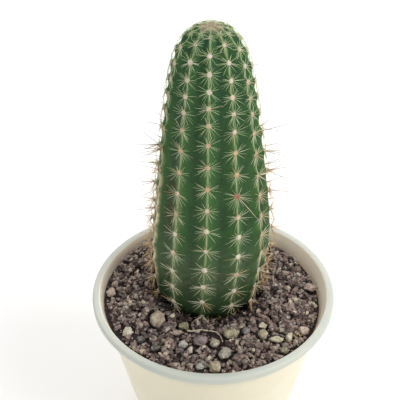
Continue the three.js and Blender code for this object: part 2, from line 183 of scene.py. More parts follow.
# Builds a material from its look. Patterns are noise: the size of the lumps in millimetres, detail,
# roughness, and sometimes a stretch. The base is a hex code, or the colour "tint" that the mesh
# carries, or a ramp of colours over the sum of some terms. Covers are colours laid over it one
# after another, each as thick as the product of its terms. The relief is a pattern, its depth in
# millimetres, and its strength.
def makeMaterial(look):
    material = bpy.data.materials.new(look["name"])
    material.use_nodes = True
    tree = material.node_tree
    tree.nodes.clear()
    sources = {"place": addNode(tree, "TexCoord", {}, "Object")}
    for key, (size, detail, rough, *stretch) in look.get("patterns", {}).items():
        place = sources["place"]
        if stretch:
            place = addNode(tree, "Mapping", {"Vector": place, "Scale": stretch[0]})
        settings = {"Vector": place, "Scale": 1 / (size * mm), "Detail": detail, "Roughness": rough}
        sources[key] = addNode(tree, "TexNoise", settings)
    base, rough = look["base"], look["rough"]
    if base == "tint":
        base = addNode(tree, "Attribute", {"attribute_name": base}, "Color")
    elif isinstance(base, dict):
        base = addNode(tree, "ValToRGB", {0: joined(tree, sources, base, "ADD"), "stops": look["stops"]})
    for code, terms, *how in look.get("covers", ()):
        settings = {"data_type": "RGBA", "blend_type": how[0] if how else "MIX"}
        base = addNode(tree, "Mix", {**settings, 0: joined(tree, sources, terms), 6: base, 7: code}, 2)
    if isinstance(rough, dict):
        rough = joined(tree, sources, rough)
    inputs = {"Base Color": base, "Roughness": rough, **look.get("shader", {})}
    if "relief" in look:
        pattern, depth, strength = look["relief"]
        settings = {"Strength": strength, "Distance": depth * mm, "Height": sources[pattern]}
        inputs["Normal"] = addNode(tree, "Bump", settings)
    addNode(tree, "OutputMaterial", {0: addNode(tree, "BsdfPrincipled", inputs)})
    return material


potShape = {
    "rimRadius": 70.0, "height": 115.0, "lipWidth": 4.1, "lipHeight": 3.8, "collar": 8.6, "wall": 1.1,
    "stepIn": 3.2, "taper": 11.0, "footHeight": 3.0, "footWidth": 3.5, "floor": 1.6, "flareHeight": 1.6,
    "drainRadius": 4.5, "drainCircle": 26.0, "drainHoles": 6, "columns": 288, "longestRow": 4.0,
    # how thick the dust is on the inside, high up and at the grit, and where above the grit it thins out
    "dust": (0.04, 0.64), "dustHeights": (0.3, 2.4),
}

# Injection-moulded polypropylene: the mould leaves it smooth, with a soft gloss and faint ripples
# that run level round the wall. It is cool white at the lip; the warm cream on the wall is painted glow
# of light that shines through from inside, and the paler inside is partly painted glow as well. Dust
# from the soil clings to the inside just above the grit.
plasticLook = {
    "name": "mouldedPolypropylene",
    "patterns": {
        "cloud": (22, 2, 0.5), "grime": (1.8, 5, 0.7), "scuff": (3.5, 5, 0.65),
        "turns": (1.1, 3, 0.5, (0.04, 0.04, 1.0)),
    },
    # painted glow: below the lip the wall turns warm cream, for light shining through it
    "base": {"height": ((potShape["height"] - 16) * mm, (potShape["height"] - 4) * mm, 1, 0)},
    "stops": ((0, "#b3b8b1"), (1, "#dfd5ba")),
    "covers": (
        # the inside is painted paler, partly as glow of light through the wall
        ("#f6f0e4", {"inside": ()}),
        ("#d0cab5", {"cloud": (0.35, 0.65, 0, 0.25)}),
        ("#bfb09f", {"dust": (), "grime": (0.35, 0.62, 0.35, 1)}),
        ("#b9b09a", {"scuff": (0.66, 0.75, 0, 0.35)}),
    ),
    "rough": {"cloud": (0.3, 0.7, 0.3, 0.42)},
    "shader": {
        "IOR": 1.49, "Subsurface Weight": 0.5, "Subsurface Radius": (1.0, 0.85, 0.65),
        "Subsurface Scale": 3 * mm,
    },
    "relief": ("turns", 0.12, 0.6),
}


# Height where the inside changes from the wall's taper to a wider flare.
def innerKink():
    return potShape["height"] - potShape["collar"] - potShape["flareHeight"]


# Outer radius of the tapered wall at a height: a straight slope inwards below the collar.
def wallRadius(z):
    shape = potShape
    body = shape["rimRadius"] - shape["lipWidth"] + shape["wall"] - shape["stepIn"]
    return body - (shape["height"] - shape["collar"] - z) * math.tan(math.radians(shape["taper"]))


# Inner radius of the pot at a height: the wall's taper below the kink, a straight flare above it.
def innerRadius(z):
    shape = potShape
    kink = innerKink()
    low = wallRadius(kink) - shape["wall"]
    high = shape["rimRadius"] - shape["lipWidth"]
    share = np.clip((z - kink) / (shape["height"] - 0.9 - kink), 0, 1)
    return np.where(z < kink, wallRadius(z) - shape["wall"], between(low, high, share))


# The outline of the pot's wall, from the axis under the floor, round the lip, and back to the axis.
# Each corner is given with the length that its rounding takes from both of its sides. The rounding
# is a curve that leaves one side and runs into the other without a kink.
def potOutline():
    shape = potShape
    top, under, rim = shape["height"], shape["footHeight"], shape["rimRadius"]
    step, lipBottom, floorTop = top - shape["collar"], top - shape["lipHeight"], under + shape["floor"]
    inner = rim - shape["lipWidth"]
    collar = inner + shape["wall"]
    foot = wallRadius(0)
    corners = [
        (0, under, 0), (foot - shape["footWidth"], under, 0.5), (foot - shape["footWidth"], 0, 0.4),
        (foot, 0, 0.8), (wallRadius(step - 1), step - 1, 0.6), (collar - 0.3, step, 0.5),
        (collar, lipBottom, 0.4), (rim, lipBottom, 0.7), (rim, top, 1.6), (inner + 0.1, top, 1.0),
        (float(innerRadius(innerKink())), innerKink(), 1.5),
        (float(innerRadius(floorTop)), floorTop, 1.2), (0, floorTop, 0),
    ]
    places, roundings = np.array(corners)[:, :2], np.array(corners)[:, 2]
    before, after = unit(places[:-2] - places[1:-1]), unit(places[2:] - places[1:-1])
    share = np.linspace(0, 1, 7)[:, None]
    arms = (1 - share) ** 2 * before[:, None] + share ** 2 * after[:, None]
    bends = places[1:-1, None] + roundings[1:-1, None, None] * arms
    return np.concatenate([places[:1], bends.reshape(-1, 2), places[-1:]])


# More points along the long sides of an outline, evenly spaced, so that the wall takes fine patterns.
def refined(outline, longest):
    points = [outline[:1]]
    for start, end in zip(outline[:-1], outline[1:]):
        steps = max(1, math.ceil(np.linalg.norm(end - start) / longest))
        points.append(start + (end - start) * np.linspace(0, 1, steps + 1)[1:, None])
    return np.concatenate(points)


# The pot: its outline carried once round the upright axis, as radius times sine and cosine of the
# angle, with drain holes cut through the floor.
def makePot():
    shape = potShape
    outline = refined(potOutline(), shape["longestRow"])
    angle = roundAngles(shape["columns"])
    radius, z = outline[1:-1, :1], outline[1:-1, 1:]
    rings = np.stack([radius * np.sin(angle), -radius * np.cos(angle), z + 0 * angle], axis=-1)
    poles = np.array([[0, 0, outline[0, 1]], [0, 0, outline[-1, 1]]])
    points = np.concatenate([poles[:1], rings.reshape(-1, 3), poles[1:]])
    inside = np.hypot(points[:, 0], points[:, 1]) < innerRadius(points[:, 2]) + 0.3
    above = points[:, 2] - soilLevel(points[:, 0])
    dust = inside * between(*shape["dust"], 1 - smoothStep(above, *shape["dustHeights"]))
    pot = makePiece(
        "potShell", points, ringFaces(len(radius), shape["columns"]), makeMaterial(plasticLook),
        ["pot"], {"dust": dust, "inside": inside},
    )
    cutDrainHoles(pot)


# Upright cylinders on a circle, a little longer than the floor is thick, are cut out of the pot.
def cutDrainHoles(pot):
    shape = potShape
    columns, holes = 40, shape["drainHoles"]
    turn, angle = roundAngles(holes)[:, None], roundAngles(columns)
    low, high = shape["footHeight"] - 2, shape["footHeight"] + shape["floor"] + 2
    x = shape["drainCircle"] * np.sin(turn) + shape["drainRadius"] * np.cos(angle)
    y = -shape["drainCircle"] * np.cos(turn) + shape["drainRadius"] * np.sin(angle)
    rings = np.stack([np.stack([x, y, z + 0 * x], axis=-1) for z in (low, high)], axis=1)
    middles = rings.mean(axis=2, keepdims=True)
    points = np.concatenate([middles[:, 0], rings.reshape(holes, -1, 3), middles[:, 1]], axis=1)
    faces = copiedFaces(ringFaces(2, columns), 2 * columns + 2, holes)
    tool = newObject("drainCutter", newMesh("drainCutter", points.reshape(-1, 3), faces))
    cut = pot.modifiers.new("drain", "BOOLEAN")
    cut.operation = "DIFFERENCE"
    cut.object = tool
    cut.solver = "EXACT"
    graph = bpy.context.evaluated_depsgraph_get()
    done = bpy.data.meshes.new_from_object(pot.evaluated_get(graph), depsgraph=graph)
    pot.modifiers.clear()
    pot.data = done
    bpy.data.objects.remove(tool)


stemShape = {
    "soilZ": 109.0, "soilFall": 0.033, "height": 165.0, "radius": 33.3, "widest": 40.0, "buried": 20.0,
    "footShare": 0.122, "crownShare": 0.52, "tuck": 4.5, "tuckHeight": 8.0,
    "footX": -3.2, "footY": 8.0, "lean": 2.4, "leanHeight": 64.0,
    "ribs": 12, "frontRibs": (-72, -38, -6, 25, 55, 83), "twist": 4.0, "ribDepth": 0.14, "crestRound": 0.10,
    "ribFade": (2.0, 20.0), "columnsPerRib": 20, "rowSpacing": 0.55,
    # distances from the crown of the first two areoles, on even and odd ribs, then their spacing
    "firstAreoles": ((4.4, 9.8), (8.4, 13.8)), "youngStep": 8.3, "oldStep": 12.3, "stepChange": (37, 67),
    "youngBump": 1.5, "oldBump": 0.8, "bumpChange": (20, 100), "lowestAreole": 3.0,
    # the notch above an areole: depth, how far above it is, and its half height
    "notchDepth": 0.25, "notchAbove": 2.3, "notchTall": 0.6,
    "crestLine": 0.45,  # half width of the pale line along a crest
    # slow swell of the skin: height in millimetres, length of its waves, number of waves and seed
    "swells": ((0.12, 9, 9, 5), (0.06, 3, 9, 6)),
    # heights between which the skin is dusty, painted dark at the foot as painted shade, or young, and the
    # crown's edge
    "dusty": (8, 26, 60), "darkFoot": (1, 26), "youngSkin": (100, 160), "crownEdge": (4.0, 7.5),
    # the side that the sun dried: its azimuth, how far it spreads round, its width on a crest, and
    # the distances from the crown over which it sets in
    "driedAt": -88.0, "driedSpread": 34.0, "driedWidth": 1.9, "driedFrom": (66, 115),
    # dark brown on the flanks between two ribs, partly corky stain and partly painted shade: their azimuths,
    # half width, heights, and soft ends
    "stainsAt": (-54.0, 72.0), "stainSpread": 8.0, "stainHeights": (58.0, 80.0), "stainEnds": 15.0,
}

# Waxy skin of a columnar cactus: its colour darkens from the flanks into the grooves as painted shade,
# with a pale yellow-green line along each crest. The wax scatters a little light, so it looks satin.
# Low down it is greyish with dust, painted near black at the foot as painted shade, dark brown on
# some flanks partly as painted shade, and dried to corky cream on one side.
skinLook = {
    "name": "waxyCactusSkin",
    "patterns": {"patches": (7, 4, 0.5), "fine": (0.7, 4, 0.65), "cork": (3.2, 5, 0.6)},
    "base": {"groove": (), "patches": (0.3, 0.7, -0.2, 0.2)},
    # from the crest (0) to the groove (1) the green darkens: painted shade in the grooves
    "stops": ((0, "#456730"), (0.12, "#365926"), (0.45, "#2b4e23"), (0.75, "#21411f"), (1, "#183518")),
    "covers": (
        ("#456b3c", {"fine": (0.35, 0.72, 0, 0.5)}),
        ("#16301a", {"fine": (0.3, 0.45, 0.5, 0)}),
        ("#1f5138", {"young": (), "patches": (0.35, 0.65, 0.05, 0.45)}),
        ("#98a678", {"crest": (), "fine": (0.25, 0.65, 0.4, 0.95)}),
        ("#3d2a1e", {"notch": (0, 1, 0, 0.4)}),
        ("#8c7d68", {"crown": (), "fine": (0.35, 0.6, 0.4, 1)}),
        ("#5f6452", {"low": (), "cork": (0.4, 0.62, 0.25, 0.65)}),
        # dark brown between two ribs: partly corky stain, partly painted shade on the flank
        ("#3a2c18", {"stain": (), "cork": (0.42, 0.58, 0, 1)}),
        ("#efdfba", {"dried": (), "cork": (0.4, 0.58, 0.3, 1)}),
        # near black at the foot: painted shade where the stem tucks under
        ("#16140f", {"foot": (), "cork": (0.35, 0.6, 0.6, 0.9)}),
    ),
    "rough": {"fine": (0.3, 0.7, 0.4, 0.58)},
    "shader": {
        "Specular IOR Level": 0.22, "Subsurface Weight": 0.06, "Subsurface Radius": (0.4, 1.0, 0.3),
        "Subsurface Scale": 1.5 * mm,
    },
    "relief": ("fine", 0.14, 0.7),
}


# Height of the soil's surface, without its lumps: it falls a little towards the right.
def soilLevel(x):
    return stemShape["soilZ"] - stemShape["soilFall"] * x


# Radius over the crests at a height above the soil: it narrows gently downwards, tucks in under
# itself at the foot, tapers above the widest place, and closes in a blunt dome.
def crestRadius(height):
    shape = stemShape
    down = np.clip((shape["widest"] - height) / shape["widest"], 0, 2)
    up = np.clip((height - shape["widest"]) / (shape["height"] - shape["widest"]), 0, 1)
    low = 1 - shape["footShare"] * down ** 1.6
    high = (1 - shape["crownShare"] * up ** 1.3) * (1 - up ** 14) ** 0.4
    under = np.clip(1 - height / shape["tuckHeight"], 0, 1)
    radius = shape["radius"] * np.where(height < shape["widest"], low, high) - shape["tuck"] * under ** 3
    buried = np.clip(-height / (shape["buried"] + 2), 0, 1)
    return radius * np.sqrt(1 - buried ** 4)


# Depth of the rib's section, as a share of the crest radius: a sine from crest 0 to groove 1,
# with the crest rounded off. The ribs fade out at the foot.
def ribDepth(across, height):
    shape = stemShape
    soft = np.sqrt(across ** 2 + shape["crestRound"] ** 2) - shape["crestRound"]
    section = np.sin(np.minimum(soft / (1 - shape["crestRound"] * 0.95), 1) * np.pi / 2) ** 1.15
    return shape["ribDepth"] * section * smoothStep(height, *shape["ribFade"])


# The stem's middle at a height above the soil: it leans a little to the right on its way up.
def stemAxis(height):
    shape = stemShape
    x = shape["footX"] + shape["lean"] * smoothStep(height, 0, shape["leanHeight"])
    return np.stack([x, np.full_like(x, shape["footY"]), shape["soilZ"] + height], axis=-1)


# Azimuths of the ribs: those in front as given, the others evenly over the rest of the circle,
# and the first once more at the end.
def ribAzimuths():
    front = stemShape["frontRibs"]
    behind = np.linspace(front[-1], front[0] + 360, stemShape["ribs"] - len(front) + 2)
    return np.concatenate([front, behind[1:]])


# Heights, radii and distances from the crown, all down one crest.
def crestTable():
    height = stemShape["height"] * (1 - np.linspace(0, 1, 1200) ** 2.2)
    height = np.concatenate([height, np.linspace(0, -stemShape["buried"] - 2, 120)[1:]])
    radius = crestRadius(height)
    run = np.hypot(np.diff(height), np.diff(radius))
    return np.concatenate([[0], np.cumsum(run)]), height, radius


crestDistance, crestHeight, crestWidth = crestTable()


# Distances of a rib's areoles from the crown, widening with age, down to the soil.
def areoleDistances(rib):
    shape = stemShape
    at = list(shape["firstAreoles"][rib % 2])
    while True:
        grown = float(smoothStep(at[-1], *shape["stepChange"]))
        further = at[-1] + between(shape["youngStep"], shape["oldStep"], grown)
        if np.interp(further, crestDistance, crestHeight) < shape["lowestAreole"]:
            return np.array(at)
        at.append(further)


# How dry a rib is: most on one side of the plant, and less round it as a bell curve.
def drySide(azimuth):
    away = (azimuth - stemShape["driedAt"] + 180) % 360 - 180
    return np.exp(-(away / stemShape["driedSpread"]) ** 2)


# Direction in the profile's own plane that stands square on it: (outward, upward) for each distance.
def profileNormal(distance):
    heights = [np.interp(distance + step, crestDistance, crestHeight) for step in (-0.5, 0.5)]
    widths = [np.interp(distance + step, crestDistance, crestWidth) for step in (-0.5, 0.5)]
    return unit(np.stack([heights[0] - heights[1], widths[1] - widths[0] + 1e-6], axis=-1))


# Level direction towards an azimuth in degrees: 0 is the front, and 90 is the right side.
def outward(azimuth):
    turn = np.radians(azimuth)
    return np.stack([np.sin(turn), -np.cos(turn), np.zeros_like(turn)], axis=-1)


# How large an areole is, from the small ones on the crown to full size.
def areoleSize(distance):
    return between(0.45, 1.0, smoothStep(distance, 2, 20))


# Height of the mound under an areole: it is small on the crown, and sinks with age.
def moundHeight(distance):
    grown = smoothStep(distance, *stemShape["bumpChange"])
    return between(stemShape["youngBump"], stemShape["oldBump"], grown) * areoleSize(distance)


# Relief of the skin in millimetres at points given by their distance from the crown and their
# distance across from the nearest crest: under each areole a mound like a bell curve both ways,
# and above it a thin notch. It gives the relief, and the notches alone.
def areoleRelief(distance, across, rib):
    shape = stemShape
    relief = np.zeros(np.broadcast(distance, across).shape)
    notch = np.zeros_like(relief)
    for at in areoleDistances(rib):
        grown = smoothStep(at, *shape["bumpChange"])
        below = distance - at
        width = min(2.2, 0.2 + 0.17 * np.interp(at, crestDistance, crestWidth))
        relief += moundHeight(at) * np.exp(-(below / (2.8 - 0.5 * grown)) ** 2 - (across / width) ** 2)
        upward = (below + shape["notchAbove"]) / shape["notchTall"]
        dip = np.exp(-upward ** 2 - (across / (0.7 * width)) ** 2) * areoleSize(at)
        relief -= shape["notchDepth"] * dip
        notch += dip
    return relief, notch


# The skin: rings of points down the stem from the crown. Round each ring the radius falls from a
# rounded crest to a groove as a sine of the way between them, and the areoles' relief is added.
def makeStem():
    shape = stemShape
    ribs, perRib = shape["ribs"], shape["columnsPerRib"]
    end = crestDistance[-1] - 0.6
    distance = np.linspace(0.4, end, int(end / shape["rowSpacing"]))[:, None]
    height = np.interp(distance, crestDistance, crestHeight)
    radius = np.interp(distance, crestDistance, crestWidth)
    normal = profileNormal(distance)
    azimuths = ribAzimuths()
    place = np.arange(perRib) / perRib
    across = 1 - np.abs(1 - 2 * place)
    own = place < 0.5  # the half that is nearer to the rib's own crest than to the next
    low, high = shape["stainHeights"]
    ends = shape["stainEnds"]
    stainAndShadeLevel = smoothStep(height, low - ends, low) * (1 - smoothStep(height, high, high + ends))
    ageing = smoothStep(distance, *shape["driedFrom"])
    points = []
    marks = {key: [] for key in ("groove", "crest", "notch", "dried", "stain")}
    for rib in range(ribs):
        span = azimuths[rib + 1] - azimuths[rib]
        sideways = across * math.radians(span) / 2 * radius
        near, far = (areoleRelief(distance, sideways, (rib + side) % ribs) for side in (0, 1))
        relief, notch = np.where(own, near, far)
        azimuth = azimuths[rib] + span * place + shape["twist"] * height / shape["height"]
        ring = radius * (1 - ribDepth(across, height)) + relief * normal[..., 0]
        spot = stemAxis(height) + outward(azimuth) * ring[..., None]
        spot[..., 2] += relief * normal[..., 1]
        points.append(spot)
        drier = np.where(own, drySide(azimuths[rib]), drySide(azimuths[rib + 1]))
        # dark brown bands between ribs, partly painted shade
        stainsAndShade = sum(np.exp(-((azimuth - at) / shape["stainSpread"]) ** 2) for at in shape["stainsAt"])
        marks["groove"].append(across + 0 * relief)
        marks["crest"].append(np.exp(-(sideways / shape["crestLine"]) ** 2))
        marks["notch"].append(notch)
        marks["dried"].append(np.exp(-(sideways / shape["driedWidth"]) ** 4) * drier * ageing)
        marks["stain"].append(stainsAndShade * stainAndShadeLevel)
    points = np.concatenate(points, axis=1)
    away = unit(points - stemAxis(points[..., 2] - shape["soilZ"]) + [0, 0, 1e-3])
    points += away * sum(tall * ripple(points, *waves) for tall, *waves in shape["swells"])[..., None]
    marks = {key: np.concatenate(values, axis=1) for key, values in marks.items()}
    low, middle, high = shape["dusty"]
    level = np.ones(ribs * perRib)
    marks["low"] = smoothStep(height, low, middle) * (1 - smoothStep(height, middle, high)) * level
    # painted shade: the foot darkens towards the soil
    marks["foot"] = (1 - smoothStep(height, *shape["darkFoot"])) * level
    marks["young"] = smoothStep(height, *shape["youngSkin"]) * level
    marks["crown"] = (1 - smoothStep(distance, *shape["crownEdge"])) * level
    # The rings run down from the crown, so they are turned over to keep the faces outward.
    for key, v in marks.items():
        marks[key] = np.concatenate([[v[-1].mean()], v[::-1].ravel(), [v[0].mean()]])
    bottom, top = stemAxis(np.array([[-shape["buried"] - 2.0], [shape["height"]]]))
    points = np.concatenate([bottom, points[::-1].reshape(-1, 3), top])
    faces = ringFaces(len(distance), ribs * perRib)
    makePiece("cactusStem", points, faces, makeMaterial(skinLook), ["cactus"], marks)


# Places of all areoles with the three directions that stand on them:
# out of the skin, up the rib, and round the stem to the right.
def areoleFrames():
    azimuths = ribAzimuths()
    runs = [areoleDistances(rib) for rib in range(stemShape["ribs"])]
    at = np.concatenate(runs)
    azimuth = np.repeat(azimuths[:-1], [len(run) for run in runs])
    height = np.interp(at, crestDistance, crestHeight)
    radius = np.interp(at, crestDistance, crestWidth)
    azimuth = azimuth + stemShape["twist"] * height / stemShape["height"]
    flat = profileNormal(at)
    away = outward(azimuth)
    upright = np.array([0, 0, 1.0])
    normal = away * flat[:, :1] + upright * flat[:, 1:]
    up = -away * flat[:, 1:] + upright * flat[:, :1]
    spot = stemAxis(height) + away * radius[:, None] + normal * (moundHeight(at) * 0.9)[:, None]
    return {
        "spot": spot, "normal": normal, "up": up, "side": outward(azimuth + 90), "height": height,
        "azimuth": azimuth, "distance": at, "size": areoleSize(at),
    }


# The frames of some areoles, one row for each spine or hair that grows there.
def picked(frames, pick):
    return {key: values[pick] for key, values in frames.items()}


feltShape = {
    "radius": 1.28, "dome": 0.55, "hairs": 44, "hairLength": 0.8, "hairRadius": 0.05,
    # random spread of the cushions' radii, and how lumpy they are round the rim and upwards
    "radiusSpread": (0.9, 1.1), "lumpyRim": 0.10, "lumpyTop": 0.15, "rows": 6, "columns": 14,
    # how much larger the old cushions are, and the distances from the crown over which they grow
    "oldGrowth": 0.12, "oldFrom": (60, 150), "reddishGrowth": 1.25, "underSkin": 1.1,
    # the felt's tone at some heights: from the crown (0) through the tanned middle to the bleached foot
    "toneHeights": (10, 75, 95, 150), "tones": (0.72, 0.64, 0.42, 0.05),
    # the pinkish tone of the youngest areoles, and how far from the crown they reach
    "crownTone": 0.9, "crownReach": 7,
    # azimuth and height of the areole that has turned reddish brown, on the right front rib
    "reddish": (27, 82),
}

# Felt of short wool on the areoles: dull fibres that catch light softly. It is pale grey-beige when
# young, tanned half-way down, and bleached again near the soil. One areole is reddish brown. The
# fibres are far finer than the pattern, which is drawn as coarse as it needs to be to show.
feltLook = {
    "name": "areoleFelt",
    "patterns": {"fibre": (0.4, 3, 0.7)},
    "base": {"tone": ()},
    "stops": (
        (0, "#e2d8cc"), (0.42, "#d2b188"), (0.6, "#dccdb4"), (0.76, "#e4dfd0"), (0.88, "#cfab92"),
        (1, "#a3654f"),
    ),
    "covers": (
        ("#8d7962", {"fibre": (0.3, 0.48, 0.3, 0)}),
        ("#eee5d2", {"fibre": (0.55, 0.75, 0, 0.4)}),
    ),
    "rough": 0.95,
    "shader": {"Sheen Weight": 0.2},
    "relief": ("fibre", 0.15, 0.8),
}


# The number of the areole that has turned reddish brown: the nearest to its azimuth and height.
def reddishAreole(frames):
    azimuth, height = feltShape["reddish"]
    return np.argmin(np.abs(frames["azimuth"] - azimuth) + np.abs(frames["height"] - height))


# A low lumpy cushion on each areole: rings of a dome, whose height falls as a cosine and whose
# width grows as a sine of the way down, closed by a pole on top and one under the skin.
def makeFelt(frames):
    random = np.random.default_rng(31)
    count = len(frames["spot"])
    shape = feltShape
    rows, columns = shape["rows"], shape["columns"]
    polar = (np.linspace(0.12, 1.0, rows) * np.pi / 2)[:, None]
    angle = roundAngles(columns)
    radius = shape["radius"] * frames["size"] * random.uniform(*shape["radiusSpread"], count)
    radius *= 1 + shape["oldGrowth"] * smoothStep(frames["distance"], *shape["oldFrom"])
    radius[reddishAreole(frames)] *= shape["reddishGrowth"]
    lumpy = 1 + shape["lumpyRim"] * random.normal(size=(count, rows, columns)) * np.sin(polar)
    wide = np.sin(polar) * radius[:, None, None] * lumpy
    tall = (shape["dome"] * frames["size"])[:, None, None] * np.cos(polar) ** 0.8
    tall = tall * (1 + shape["lumpyTop"] * random.normal(size=(count, rows, columns))) - 0.35
    spot = (
        frames["spot"][:, None, None]
        + (wide * np.cos(angle))[..., None] * frames["side"][:, None, None]
        + (wide * np.sin(angle))[..., None] * frames["up"][:, None, None]
        + tall[..., None] * frames["normal"][:, None, None]
    )
    top = frames["spot"] + frames["normal"] * (shape["dome"] * frames["size"] - 0.4)[:, None]
    under = frames["spot"] - frames["normal"] * shape["underSkin"]
    # From the underside's pole out to the rim, then up over the dome to its pole.
    body = spot[:, ::-1].reshape(count, -1, 3)
    points = np.concatenate([under[:, None], body, top[:, None]], axis=1)
    each = rows * columns + 2
    tone = np.interp(frames["height"], shape["toneHeights"], shape["tones"])
    tone = tone + random.normal(0, 0.07, count)
    young = frames["distance"] < shape["crownReach"]
    tone = np.clip(np.where(young, shape["crownTone"], tone), 0, shape["crownTone"])
    tone[reddishAreole(frames)] = 1.0
    makePiece(
        "areoleFelt", points.reshape(-1, 3), copiedFaces(ringFaces(rows, columns), each, count),
        makeMaterial(feltLook), ["cactus"], {"tone": np.repeat(tone, each)},
    )


# A piece of needles: a few rings of a few points, each ring narrower than the last, between a pole
# in the root and a pole at the tip. The middle line bends away by a share of its length squared.
# The needles ride in a slot, and each has its foot, way, length, radius, bend and tone.
def makeNeedles(name, look, nodes, needles, tone, rings, sides):
    feet, ways, lengths, radii, bends = needles
    count = len(feet)
    lengths = lengths[:, None]
    share = np.linspace(0, 0.86, rings)
    helper = np.where(np.abs(ways[:, 2:3]) > 0.8, [1.0, 0, 0], [0, 0, 1.0])
    first = unit(np.cross(ways, helper))
    second = np.cross(ways, first)
    middle = feet[:, None] + ways[:, None] * (lengths * share)[..., None]
    middle = middle + bends[:, None] * (lengths * share ** 2)[..., None]
    angle = roundAngles(sides)[:, None]
    spoke = first[:, None] * np.cos(angle) + second[:, None] * np.sin(angle)
    girth = radii[:, None] * (1 - share) ** 0.4
    ring = middle[:, :, None] + spoke[:, None] * girth[..., None, None]
    tip = feet + ways * lengths + bends * lengths
    points = np.concatenate([feet[:, None], ring.reshape(count, -1, 3), tip[:, None]], axis=1)
    each = rings * sides + 2
    along = np.concatenate([[0], np.repeat(share, sides), [1]])
    marks = {"along": np.tile(along, count), "tone": np.repeat(np.clip(tone, 0, 1), each)}
    faces = copiedFaces(ringFaces(rings, sides), each, count)
    makePiece(name, points.reshape(-1, 3), faces, makeMaterial(look), nodes, marks)


# Short wool that stands out of each cushion: feet spread evenly over its dome, and ways that lean
# outwards from its middle.
def makeWool(frames):
    random = np.random.default_rng(32)
    shape = feltShape
    pick = np.repeat(np.arange(len(frames["spot"])), shape["hairs"])
    own = picked(frames, pick)
    count = len(pick)
    turn = random.uniform(0, 2 * np.pi, count)
    reach = np.sqrt(random.uniform(0, 1, count))
    sideways = np.cos(turn) * reach
    along = np.sin(turn) * reach
    size = own["size"] * shape["radius"]
    dome = shape["dome"] * own["size"] * np.sqrt(1 - 0.9 * reach ** 2) - 0.4
    feet = own["spot"] + own["side"] * (sideways * size * 0.9)[:, None]
    feet = feet + own["up"] * (along * size * 0.9)[:, None] + own["normal"] * dome[:, None]
    ways = own["normal"] * 0.8 + own["side"] * (sideways + random.normal(0, 0.3, count))[:, None]
    ways = unit(ways + own["up"] * (along + random.normal(0, 0.3, count))[:, None])
    lengths = shape["hairLength"] * random.uniform(0.6, 1.3, count) * own["size"]
    bends = unit(random.normal(size=(count, 3))) * 0.3
    needles = feet, ways, lengths, np.full(count, shape["hairRadius"]), bends
    tone = np.interp(own["height"], shape["toneHeights"], shape["tones"])
    tone = np.where(pick == reddishAreole(frames), 0.97, tone + random.normal(0, 0.06, count))
    makeNeedles("areoleWool", feltLook, ["cactus"], needles, tone, 2, 3)


spineShape = {
    # on both sides of an areole: degrees from up the rib, lift from the skin, length in millimetres
    "radials": (
        (14, 14, 4.2), (34, 12, 5.0), (52, 11, 5.8), (68, 10, 6.6), (83, 9, 7.0), (98, 9, 7.0),
        (113, 9, 7.0), (129, 8, 7.0), (146, 6, 6.8), (163, 4, 6.4),
    ),
    "lowestRadial": (180, 4, 6.0),
    # share of the radials that is missing, of those that point up and of the others
    "upperMissing": 0.24, "missing": 0.08, "upperTurns": 60,
    "radialRadius": 0.115, "wander": 7.0, "liftWander": 4.0, "clearOfSoil": -4.6,
    # random spread of lengths and radii, and how much longer the reddish areole's spines are
    "radialLengths": (0.72, 1.2), "radialRadii": (0.72, 1.12), "reddishLonger": 1.3,
    # where the stem tucks under, spines hang: heights, share of the turn downwards, lift in radians
    "hangHeights": (3, 10), "hangTurn": 0.4, "hangLift": 0.5,
    # degrees that spines on the plant's sides stand further out, and where sides begin and are full
    "sideLift": 26, "sideFrom": (34, 78),
    "centralRadius": 0.13, "centralLength": 10.5, "centralTurns": (-95, 95, -125, 125, -65, 65, 165),
    # below this share of the height, how many grow on an areole in front, and how many more at the side
    "centralBelow": 0.62, "centralChances": (0.15, 5.5), "youngChance": 0.1,
    # random spread of their turns and lifts in degrees, the lifts' limits, and of lengths and radii
    "turnSpread": 16, "liftSpread": (32, 13), "liftLimits": (15, 80),
    "centralLengths": (0.45, 0.85), "centralRadii": (0.75, 1.15),
    # thin brown ones on the sides: length, radius, and the heights that they grow between
    "brownLength": 17.0, "brownRadius": 0.15, "brownHeights": (62, 112),
    "brownLifts": (58, 85), "brownLengths": (0.6, 1.05), "brownTones": (0.86, 1),
    # the one long spine of the reddish areole: degrees from up the rib, lift, length
    "longOne": (147, 24, 17.0),
}

# Horn-like spines, smooth and a little translucent: pale yellow-green when young, cream with age,
# golden to brown on the sides that the sun dries, where the gold is partly painted glow of light
# shining through them from behind, and darker at root and tip.
hornLook = {
    "name": "spineHorn",
    "base": {"tone": ()},
    "stops": (
        (0, "#b6c98f"), (0.18, "#cdd3a9"), (0.34, "#e2dbc0"), (0.5, "#dcc598"), (0.72, "#c89452"),
        (0.86, "#8d6a4e"), (1, "#4c382e"),
    ),
    "covers": (("#7e6248", {"along": (0.6, 1, 0, 0.25)}), ("#7a4a36", {"along": (0, 0.25, 0.5, 0)})),
    "rough": 0.45,
    "shader": {
        "Subsurface Weight": 0.2, "Subsurface Radius": (1.0, 0.8, 0.5), "Subsurface Scale": 0.3 * mm,
    },
}


# Turns needles whose tips would dip deep into the grit up until they only reach into its top: the
# upright share of the way is at least the rise to that level, divided by the length.
def clearOfSoil(feet, ways, lengths):
    lowest = soilLevel(feet[:, 0]) + spineShape["clearOfSoil"]
    rise = np.clip((lowest - feet[:, 2]) / lengths, -1, 0.95)
    z = np.maximum(ways[:, 2], rise)
    flat = unit(ways[:, :2] + 1e-6) * np.sqrt(1 - z ** 2)[:, None]
    return np.concatenate([flat, z[:, None]], axis=1)


# Lengths cut so that no tip rises further above the growing point than the young spines there.
def underTop(feet, ways, lengths):
    top = stemShape["soilZ"] + stemShape["height"] + crownShape["over"]
    return np.minimum(lengths, (top - feet[:, 2]) / np.maximum(ways[:, 2], 0.05))


